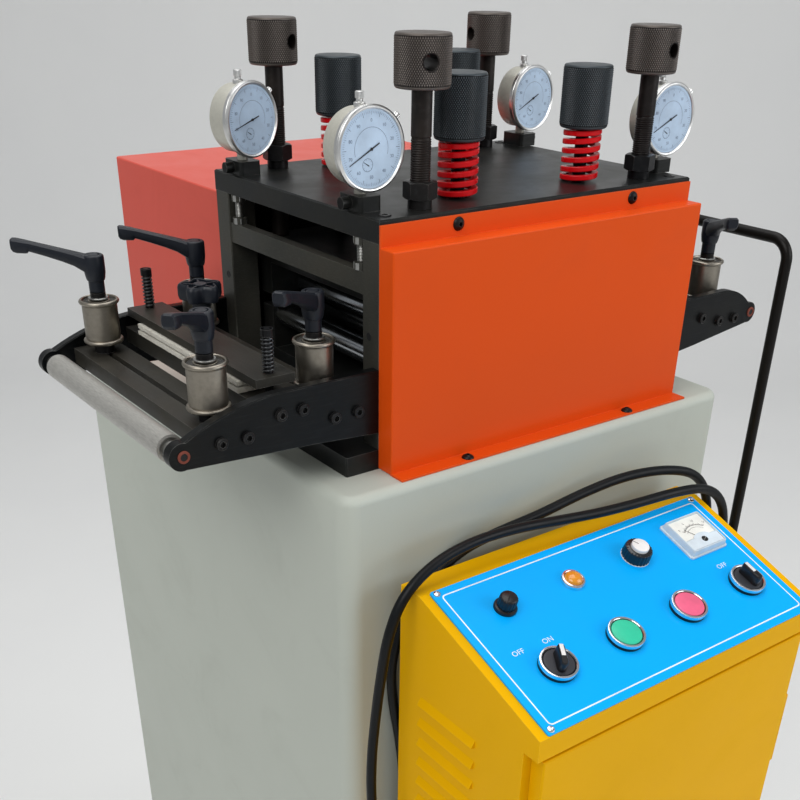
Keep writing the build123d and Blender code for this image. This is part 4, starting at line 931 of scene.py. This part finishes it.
def arc_band(bm, m, centre, radius, width, lift, start=0.0, stop=2 * pi, count=48):
    line = []
    for k in range(count + 1):
        a = start + (stop - start) * k / count
        for r in (radius - width / 2, radius + width / 2):
            line.append(vert(bm, m, *polar(r, a, centre), lift))
    for k in range(count):
        bm.faces.new((line[2 * k], line[2 * k + 1], line[2 * k + 3], line[2 * k + 2]))


def figures(bm, m, text, spot, size, lift, turn=0.0):
    """Generic figures or ON and OFF as flat faces."""
    curve = bpy.data.curves.new("figures", "FONT")
    curve.body = text
    curve.size = size
    curve.align_x = "CENTER"
    curve.align_y = "CENTER"
    curve.resolution_u = 3
    holder = added("figures", curve)
    mesh = bpy.data.meshes.new_from_object(holder)
    mesh.transform(shifted(m, *spot, lift, turn))
    bm.from_mesh(mesh)
    bpy.data.objects.remove(holder)
    bpy.data.meshes.remove(mesh)


# Dial gauges, each turned about its stem. The face frame is (right, up, out) with its origin on the stem
to_face = Matrix(((1, 0, 0, 0), (0, 0, -1, 0), (0, 1, 0, 0), (0, 0, 0, 1)))
DIAL = 13.1  # height of the dial's face
SMALL_DIAL = (-3.0, -9.5)
SCALE_RADIUS = 22.6
FIGURE_RADIUS = 17.2


def dial_scale(bm, face):
    lift = DIAL + 0.3
    for k in range(100):
        a = 2 * pi * k / 100
        length = 3.0 if k % 10 == 0 else 2.2 if k % 5 == 0 else 1.4
        width = 0.34 if k % 10 == 0 else 0.2
        flat_bar(bm, face, polar(SCALE_RADIUS, a), polar(SCALE_RADIUS - length, a), width, lift)
    for k in range(10):
        a = pi / 2 - 2 * pi * k / 10
        figures(bm, face, str(10 * k), polar(FIGURE_RADIUS, a), 3.0, lift)
    arc_band(bm, face, (0, 0), 13.2, 0.25, lift, -0.3, pi + 0.3)
    arc_band(bm, face, SMALL_DIAL, 4.0, 0.3, lift)
    for k in range(10):
        a = 2 * pi * k / 10
        flat_bar(bm, face, polar(3.8, a, SMALL_DIAL), polar(3.0, a, SMALL_DIAL), 0.2, lift)


def dial_hands(bm, face, turn):
    hand = shifted(face, 0, 0, 0, turn)
    prism(bm, hand, [(-7.0, -0.34), (0.0, -0.46), (19.8, -0.16), (19.8, 0.16), (0.0, 0.46), (-7.0, 0.34)],
          DIAL + 0.55, DIAL + 0.8)
    lathe(bm, shifted(face, 0, 0, DIAL), ((0.95, 0.2), (0.95, 0.95), (0.7, 1.1), (0, 1.1)), 20)
    small = shifted(face, *SMALL_DIAL, 0, radians(150))
    prism(bm, small, [(-1.2, -0.3), (3.2, -0.1), (3.2, 0.1), (-1.2, 0.3)], DIAL + 0.35, DIAL + 0.5)


case_profile = ((0, -8.5), (19.0, -8.5), (19.3, -8.2), (20.2, -8.2), (20.5, -8.5), (22.6, -8.5),
                (23.6, -8.0), (24.0, -6.9), (24.0, 8.6))
bezel_profile = ((24.0, 8.5), (25.8, 8.5), (26.3, 8.9), (26.3, 11.6), (26.1, 11.9), (26.5, 12.2),
                 (26.75, 12.8), (26.6, 13.6), (26.0, 14.2), (25.3, 14.5), (24.6, 14.3), (24.2, 13.8),
                 (24.0, DIAL), (0, DIAL))
stem_low, stem_grip, stem_high = circle(2.4, 44), toothed(3.0, 0.25, 22), circle(2.5, 44)
clamp_grip, screw_grip = toothed(2.1, 0.25, 14), toothed(4.0, 0.35, 20)
cases, bezels, dials, scales, hands = (bmesh.new() for _ in range(5))
for x, y, turn, hand in gauge_spots:
    body = place(H(x, y, GAUGES), spin=radians(turn))
    face = body @ to_face
    lathe(cases, face, case_profile, 72)
    for k in range(4):
        spot = Vector((*polar(21.5, pi / 4 + pi / 2 * k), -8.5))
        cross_screw(cases, face @ Matrix.Translation(spot) @ Matrix.Rotation(pi, 4, "X"), 1.3, 0.6)
    lathe(cases, body, ((4.0, -38.5), (4.0, -23.6)), 32)
    lathe(bezels, face, bezel_profile, 96)
    lathe(bezels, body, ((3.9, 23.6), (3.9, 26.2), (3.2, 26.6), (2.3, 27.0), (2.3, 29.4)), 28)
    loft(bezels, body, ((stem_low, 28.6), (stem_grip, 29.0), (stem_grip, 32.6), (stem_high, 33.0)))
    outwards = Matrix.Translation((25.6, 0, 10.2)) @ Matrix.Rotation(pi / 2, 4, "Y")
    knob = face @ Matrix.Rotation(radians(40), 4, "Z") @ outwards
    lathe(bezels, knob, ((1.3, 0), (1.3, 1.6)), 20)
    loft(bezels, knob, ((clamp_grip, 1.5), (clamp_grip, 4.2), (circle(1.7, 28), 4.6)))
    lathe(dials, shifted(face, 0, 0, DIAL), ((23.9, 0.0), (23.9, 0.2), (0, 0.2)), 72)
    dial_scale(scales, face)
    dial_hands(hands, face, radians(hand))
mount("gauge_cases", cases, gauge_case, "machine", "dial_gauges", slot="gauge_metal")
mount("gauge_bezels", bezels, gauge_rim, slot="gauge_metal")
mount("gauge_dials", dials, dial_white, slot="gauge_metal")
mount("gauge_scales", scales, scale_ink, smooth=0)
mount("gauge_hands", hands, black_ink)

clamp_places = [place(H(x + way * 9, y, 179), (way, 0, 0)) for (x, y, turn, hand), way
                in zip(gauge_spots, (-1, -1, 1, 1))]
clamp_steps = ((screw_grip, 1.4), (screw_grip, 6.6), (circle(3.4, 40), 7.0))
formed("gauge_clamp_screws", loft, clamp_places, (clamp_steps,), screw_black, slot="black_oxide", smooth=20)

# Console panel: frame is (right, up the slope, out of the panel)
slope = radians(19.05)
panel_right = Vector((1, 0, 0))
panel_up = Vector((0, cos(slope), sin(slope)))
panel_out = Vector((0, -sin(slope), cos(slope)))
panel_thickness = 1.5
panel_turn = Matrix((panel_right, panel_up, panel_out)).transposed().to_4x4()
panel = Matrix.Translation(Vector((-153, -273, 881)) * MM) @ panel_turn @ Matrix.Scale(MM, 4)
panel = panel @ Matrix.Translation((0, 0, panel_thickness))
columns = (44, 111, 179, 248)
rows = (-35.5, -95.5)


def on_panel(column, row, spin=0.0):
    return shifted(panel, columns[column], rows[row], 0, spin)


# White border line, and the words by the switches
bm = bmesh.new()
left, right, bottom, top, corner = 6.5, 274.5, -132.7, -7.0, 3.0
west, east, south, north = left + corner, right - corner, bottom + corner, top - corner
border_width, ink_lift = 1.1, 0.12
for a, b in (((west, top), (east, top)), ((west, bottom), (east, bottom)),
             ((left, south), (left, north)), ((right, south), (right, north))):
    flat_bar(bm, panel, a, b, border_width, ink_lift)
for k, spot in enumerate(((east, north), (west, north), (west, south), (east, south))):
    arc_band(bm, panel, spot, corner, border_width, ink_lift, k * pi / 2, (k + 1) * pi / 2, 8)
for text, column, aside in (("OFF", 0, -18), ("ON", 0, 10), ("OFF", 3, -5)):
    figures(bm, on_panel(column, 1), text, (aside, 22), 6.2, ink_lift)
mount("panel_lines", bm, white_ink, smooth=0)

panel_corners = [shifted(panel, x, y) for x in (4.5, 276.5) for y in (-4.0, -135.5)]
formed("panel_screws", cross_screw, panel_corners, (2.9, 1.3), chrome, slot="zinc")

# Bezels: a bright ring on a black seat, with a black rim inside
bezel_places = [on_panel(column, 1) for column in range(4)]
shell_profile = ((12.6, 2.6), (14.3, 2.6), (14.5, 2.8), (14.5, 5.4), (14.3, 5.8), (14.0, 5.9), (12.9, 5.9),
                 (12.6, 5.6), (12.6, 4.4))
seat_profile = ((12.5, 0), (14.3, 0), (14.5, 0.2), (14.5, 2.7), (12.5, 2.7))
rim_profile = ((12.7, 4.4), (12.6, 5.2), (12.3, 5.3), (12.1, 5.1), (12.1, 1.4))
formed("bezel_shells", lathe, bezel_places, (shell_profile, 64), chrome, "machine", "switch_bezels",
       slot="switch_chrome")
formed("bezel_seats", lathe, bezel_places, (seat_profile, 56), black_plastic, slot="switch_black")
formed("bezel_rims", lathe, bezel_places, (rim_profile, 56), black_plastic, slot="switch_black")


# Selector switches: a disc with a raised handle that carries a white mark
def handle_outline(half_long, half_wide):
    turns = [2 * pi * (k + 0.5) / 28 for k in range(28)]
    return [polar(half_wide, a, ((half_long - half_wide) * (1 if cos(a) > 0 else -1), 0)) for a in turns]


handle_steps = [(handle_outline(a, b), z) for a, b, z in (
    (9.7, 3.3, 5.5), (9.5, 3.0, 11.8), (9.3, 2.7, 14.1), (8.8, 2.2, 14.7))]
disc_profile = ((11.7, 2.0), (11.7, 5.2), (11.4, 5.6), (10.6, 5.7), (0, 5.7))
for name, column, turn in (("power_switch", 0, 62), ("mode_switch", 3, 90)):
    spot = [on_panel(column, 1, radians(turn))]
    formed(f"{name}_handle", loft, spot, (handle_steps,), black_plastic, name, name, slot="switch_black",
           smooth=35)
    formed(f"{name}_disc", lathe, spot, (disc_profile, 48), disc_grey, name, slot="switch_black", smooth=35)
    formed(f"{name}_mark", box, spot, ((-1.6, -1.5, 14.5), (8.5, 1.5, 14.95)), cap_white, name, smooth=20)

cap_profile = ((10.3, -1.0), (10.3, 3.7), (11.8, 3.8), (11.8, 5.3), (11.5, 5.7), (10.8, 5.9), (0, 5.8))
for name, column, cap, slot in (("forward_button", 1, green_plastic, "button_green"),
                                ("reverse_button", 2, red_plastic, "button_red")):
    spot = [on_panel(column, 1)]
    formed(f"{name}_cap", lathe, spot, (cap_profile, 56), cap, name, name, slot=slot, smooth=35)


# Speed knob: a fluted skirt with a white cap and a mark
def fluted(radius, flute=0.45, teeth=24):
    count = 4 * teeth
    return [polar(radius - (flute if k % 4 in (0, 1) else 0), 2 * pi * k / count) for k in range(count)]


m = on_panel(2, 0)
skirt_steps = [(fluted(radius), z) for radius, z in (
    (11.6, 0.5), (11.9, 1.4), (11.7, 2.6), (11.4, 8.0), (10.9, 9.4), (9.6, 10.0))]
line_profile = ((10.8, 0.2), (12.0, 0.2), (12.0, 0.6), (10.8, 0.6))
top_profile = ((7.2, 9.8), (7.2, 12.4), (6.8, 12.9), (5.6, 13.0), (0, 12.9))
formed("speed_knob_skirt", loft, [m], (skirt_steps,), knob_plastic, "speed_knob", "speed_knob",
       slot="lever_black")
formed("speed_knob_line", lathe, [m], (line_profile, 48), cap_white, "speed_knob")
formed("speed_knob_cap", lathe, [m], (top_profile, 40), cap_white, "speed_knob")
formed("speed_knob_mark", box, [shifted(m, 0, 0, 0, radians(120))], ((2.0, -0.3, 12.88), (6.9, 0.3, 13.0)),
       black_ink, "speed_knob", smooth=20)

# Amber lamp in its bright ring
m = on_panel(1, 0)
lamp_profile = ((9.5, 0), (9.5, 2.6), (9.0, 3.4), (7.9, 3.6), (7.3, 3.2), (7.2, 1.2))
dome_radius, dome_foot, dome_rise = 7.1, 3.4, 3.8
dome = [(dome_radius * cos(a), dome_foot + dome_rise * sin(a)) for a in (0.0, 0.25, 0.5, 0.75, 1.0, 1.25)]
dome = [(dome_radius, 0.8), *dome, (0, dome_foot + dome_rise)]
formed("lamp_ring", lathe, [m], (lamp_profile, 48), chrome, slot="switch_chrome")
formed("lamp_dome", lathe, [m], (dome, 40), amber_lens, "machine", "power_lamp", slot="lamp_amber",
       smooth=60)

# Fuse holder: ribbed cap on a round foot
m = on_panel(0, 0)
bm = bmesh.new()
lathe(bm, m, ((9.0, 0.0), (9.0, 1.8), (8.5, 2.6), (7.2, 3.0)), 40)
ribs = [(x * 0.583, y * 0.583) for x, y in fluted(12.0, 0.7, 18)]
low_ribs = [(x * 1.03, y * 1.03) for x, y in ribs]
loft(bm, m, ((low_ribs, 2.9), (ribs, 10.8), (circle(6.2, 72), 11.9), (circle(5.2, 72), 12.4)))
mount("fuse_cap", bm, black_plastic, "machine", "fuse_holder", slot="lever_black")
# The cap's slot is a thin near-black strip: painted shade.
formed("fuse_cap_slot", box, [shifted(m, 0, 0, 0, 0.7)], ((-4.6, -0.6, 12.3), (4.6, 0.6, 12.5)), painted_hole_shade,
       smooth=20)

# Panel meter: a stepped clear body, scale plate, arc scale, hand, lower cover and pivot screw
m = shifted(panel, 244, -38.5)
housing_steps = [(rounded(length, width, radius), z) for length, width, radius, z in (
    (43, 40, 2.4, 0.0), (43, 40, 2.4, 1.3), (42.4, 39.4, 2.2, 1.7), (40.6, 37.6, 2.2, 1.9),
    (39.2, 36.2, 2.2, 6.2), (38.2, 35.2, 2.0, 7.0), (36.8, 33.8, 1.6, 7.0), (36.4, 33.4, 1.4, 5.5))]
formed("meter_housing", loft, [m], (housing_steps,), meter_body, "machine", "panel_meter",
       slot="switch_black")
formed("meter_scale_plate", box, [m], ((-17.6, -5.2, 5.5), (17.6, 16.0, 5.8)), meter_plate)
bm = bmesh.new()
pivot = (1.0, -9.5)
sweep_from, sweep_to = radians(48), radians(132)
scale_lift = 5.86
scale_radius = 16.5
arc_band(bm, m, pivot, scale_radius, 0.35, scale_lift, sweep_from, sweep_to, 30)
arc_band(bm, m, pivot, 14.2, 0.25, scale_lift, sweep_from, sweep_to, 30)
for k in range(31):
    a = sweep_from + (sweep_to - sweep_from) * k / 30
    reach = 19.0 if k % 5 == 0 else 17.8
    flat_bar(bm, m, polar(scale_radius, a, pivot), polar(reach, a, pivot), 0.3, scale_lift)
for k in range(4):
    a = sweep_to - (sweep_to - sweep_from) * k / 3
    figures(bm, m, str(5 * k), polar(21.3, a, pivot), 2.8, scale_lift, a - pi / 2)
hand = shifted(m, *pivot, 0, radians(124))
prism(bm, hand, [(2, -0.3), (17.5, -0.08), (17.5, 0.08), (2, 0.3)], 6.1, 6.25)
mount("meter_scale", bm, black_ink, smooth=0)
arch_turns = (0.0, 0.4, 0.8, 1.2, 1.57, 1.94, 2.34, 2.74, pi)
arch = [(pivot[0] + 9.0 * cos(a), -6.2 + 4.2 * sin(a)) for a in arch_turns]
cover = [(-17.8, -16.3), (17.8, -16.3), (17.8, -6.2), *arch, (-17.8, -6.2)]
pivot_profile = ((2.8, 6.3), (2.8, 6.8), (2.5, 7.0), (0, 7.0))
formed("meter_lower_cover", prism, [m], (cover, 5.6, 6.5), meter_cover)
formed("meter_pivot_screw", lathe, [shifted(m, *pivot)], (pivot_profile, 28), black_plastic)
formed("meter_pivot_slot", box, [shifted(m, *pivot, 0, 0.5)], ((-2.3, -0.35, 6.95), (2.3, 0.35, 7.05)), zinc)

# Console lock
lock = place(Vector((-129, -409, 440)) * MM, (0, -1, 0))
lock_profile = ((10.0, -4.0), (10.1, -0.1), (9.8, 0.3), (7.0, 0.4), (6.6, 0.0), (0, 0.0))
formed("door_lock_ring", lathe, [lock], (lock_profile, 40), chrome, "console_door", slot="switch_chrome")
# The key slot is a thin near-black strip: painted shade.
formed("door_lock_slot", box, [lock], ((-0.8, -4.2, 0.1), (0.8, 4.2, 0.3)), painted_hole_shade, "console_door",
       smooth=20)

# Floor and backdrop
bm = bmesh.new()
bend_steps, flat_end, bend = 24, 2.6, 1.2
turns = [pi / 2 * k / bend_steps for k in range(bend_steps + 1)]
profile = [(flat_end + bend * sin(a), bend - bend * cos(a)) for a in turns]
profile = [(-6.0, 0.0), *profile, (flat_end + bend, 7.0)]
facing = Matrix.Rotation(radians(-36.7), 4, "Z")
edge = [[vert(bm, facing, x, y, z) for y, z in profile] for x in (-9.0, 9.0)]
for k in range(len(profile) - 1):
    bm.faces.new((edge[0][k], edge[1][k], edge[1][k + 1], edge[0][k + 1]))
from_bmesh("studio_floor", bm, floor_material, 60)


def soft_light(name, at, look, size, power, colour=(1, 1, 1)):
    data = bpy.data.lights.new(name, "AREA")
    data.shape = "RECTANGLE"
    data.size, data.size_y = size
    data.energy = power
    data.color = colour
    lamp = added(name, data)
    lamp.location = at
    lamp.rotation_euler = (Vector(look) - Vector(at)).to_track_quat("-Z", "Y").to_euler()


soft_light("key_light", (-2.2, -1.2, 3.2), (0, -0.1, 0.8), (2.4, 1.8), 52, (1.0, 0.99, 0.97))
soft_light("fill_light", (1.8, -2.6, 2.0), (0, -0.2, 0.7), (2.4, 2.0), 40, (0.97, 0.98, 1.0))
soft_light("top_light", (0.2, 0.4, 3.6), (0, -0.1, 0.9), (2.6, 2.6), 50)

# World: soft light for the object, a pale background for the camera and through clear parts
world = bpy.data.worlds.new("studio")
bpy.context.scene.world = world
world.use_nodes = True
world_nodes = world.node_tree.nodes
soft = world_nodes["Background"]
pale = world_nodes.new("ShaderNodeBackground")
path = world_nodes.new("ShaderNodeLightPath")
seen = world_nodes.new("ShaderNodeMath")
both = world_nodes.new("ShaderNodeMixShader")
seen.operation = "MAXIMUM"
for node, colour, strength in ((soft, (225, 228, 232), 0.42), (pale, (236, 236, 234), 1.0)):
    node.inputs["Color"].default_value = linear(*colour)
    node.inputs["Strength"].default_value = strength
for source, target in ((path.outputs["Is Camera Ray"], seen.inputs[0]),
                       (path.outputs["Is Transmission Ray"], seen.inputs[1]),
                       (seen.outputs[0], both.inputs[0]),
                       (soft.outputs[0], both.inputs[1]),
                       (pale.outputs[0], both.inputs[2]),
                       (both.outputs[0], world_nodes["World Output"].inputs[0])):
    world.node_tree.links.new(source, target)
bpy.context.scene.view_settings.view_transform = "Standard"
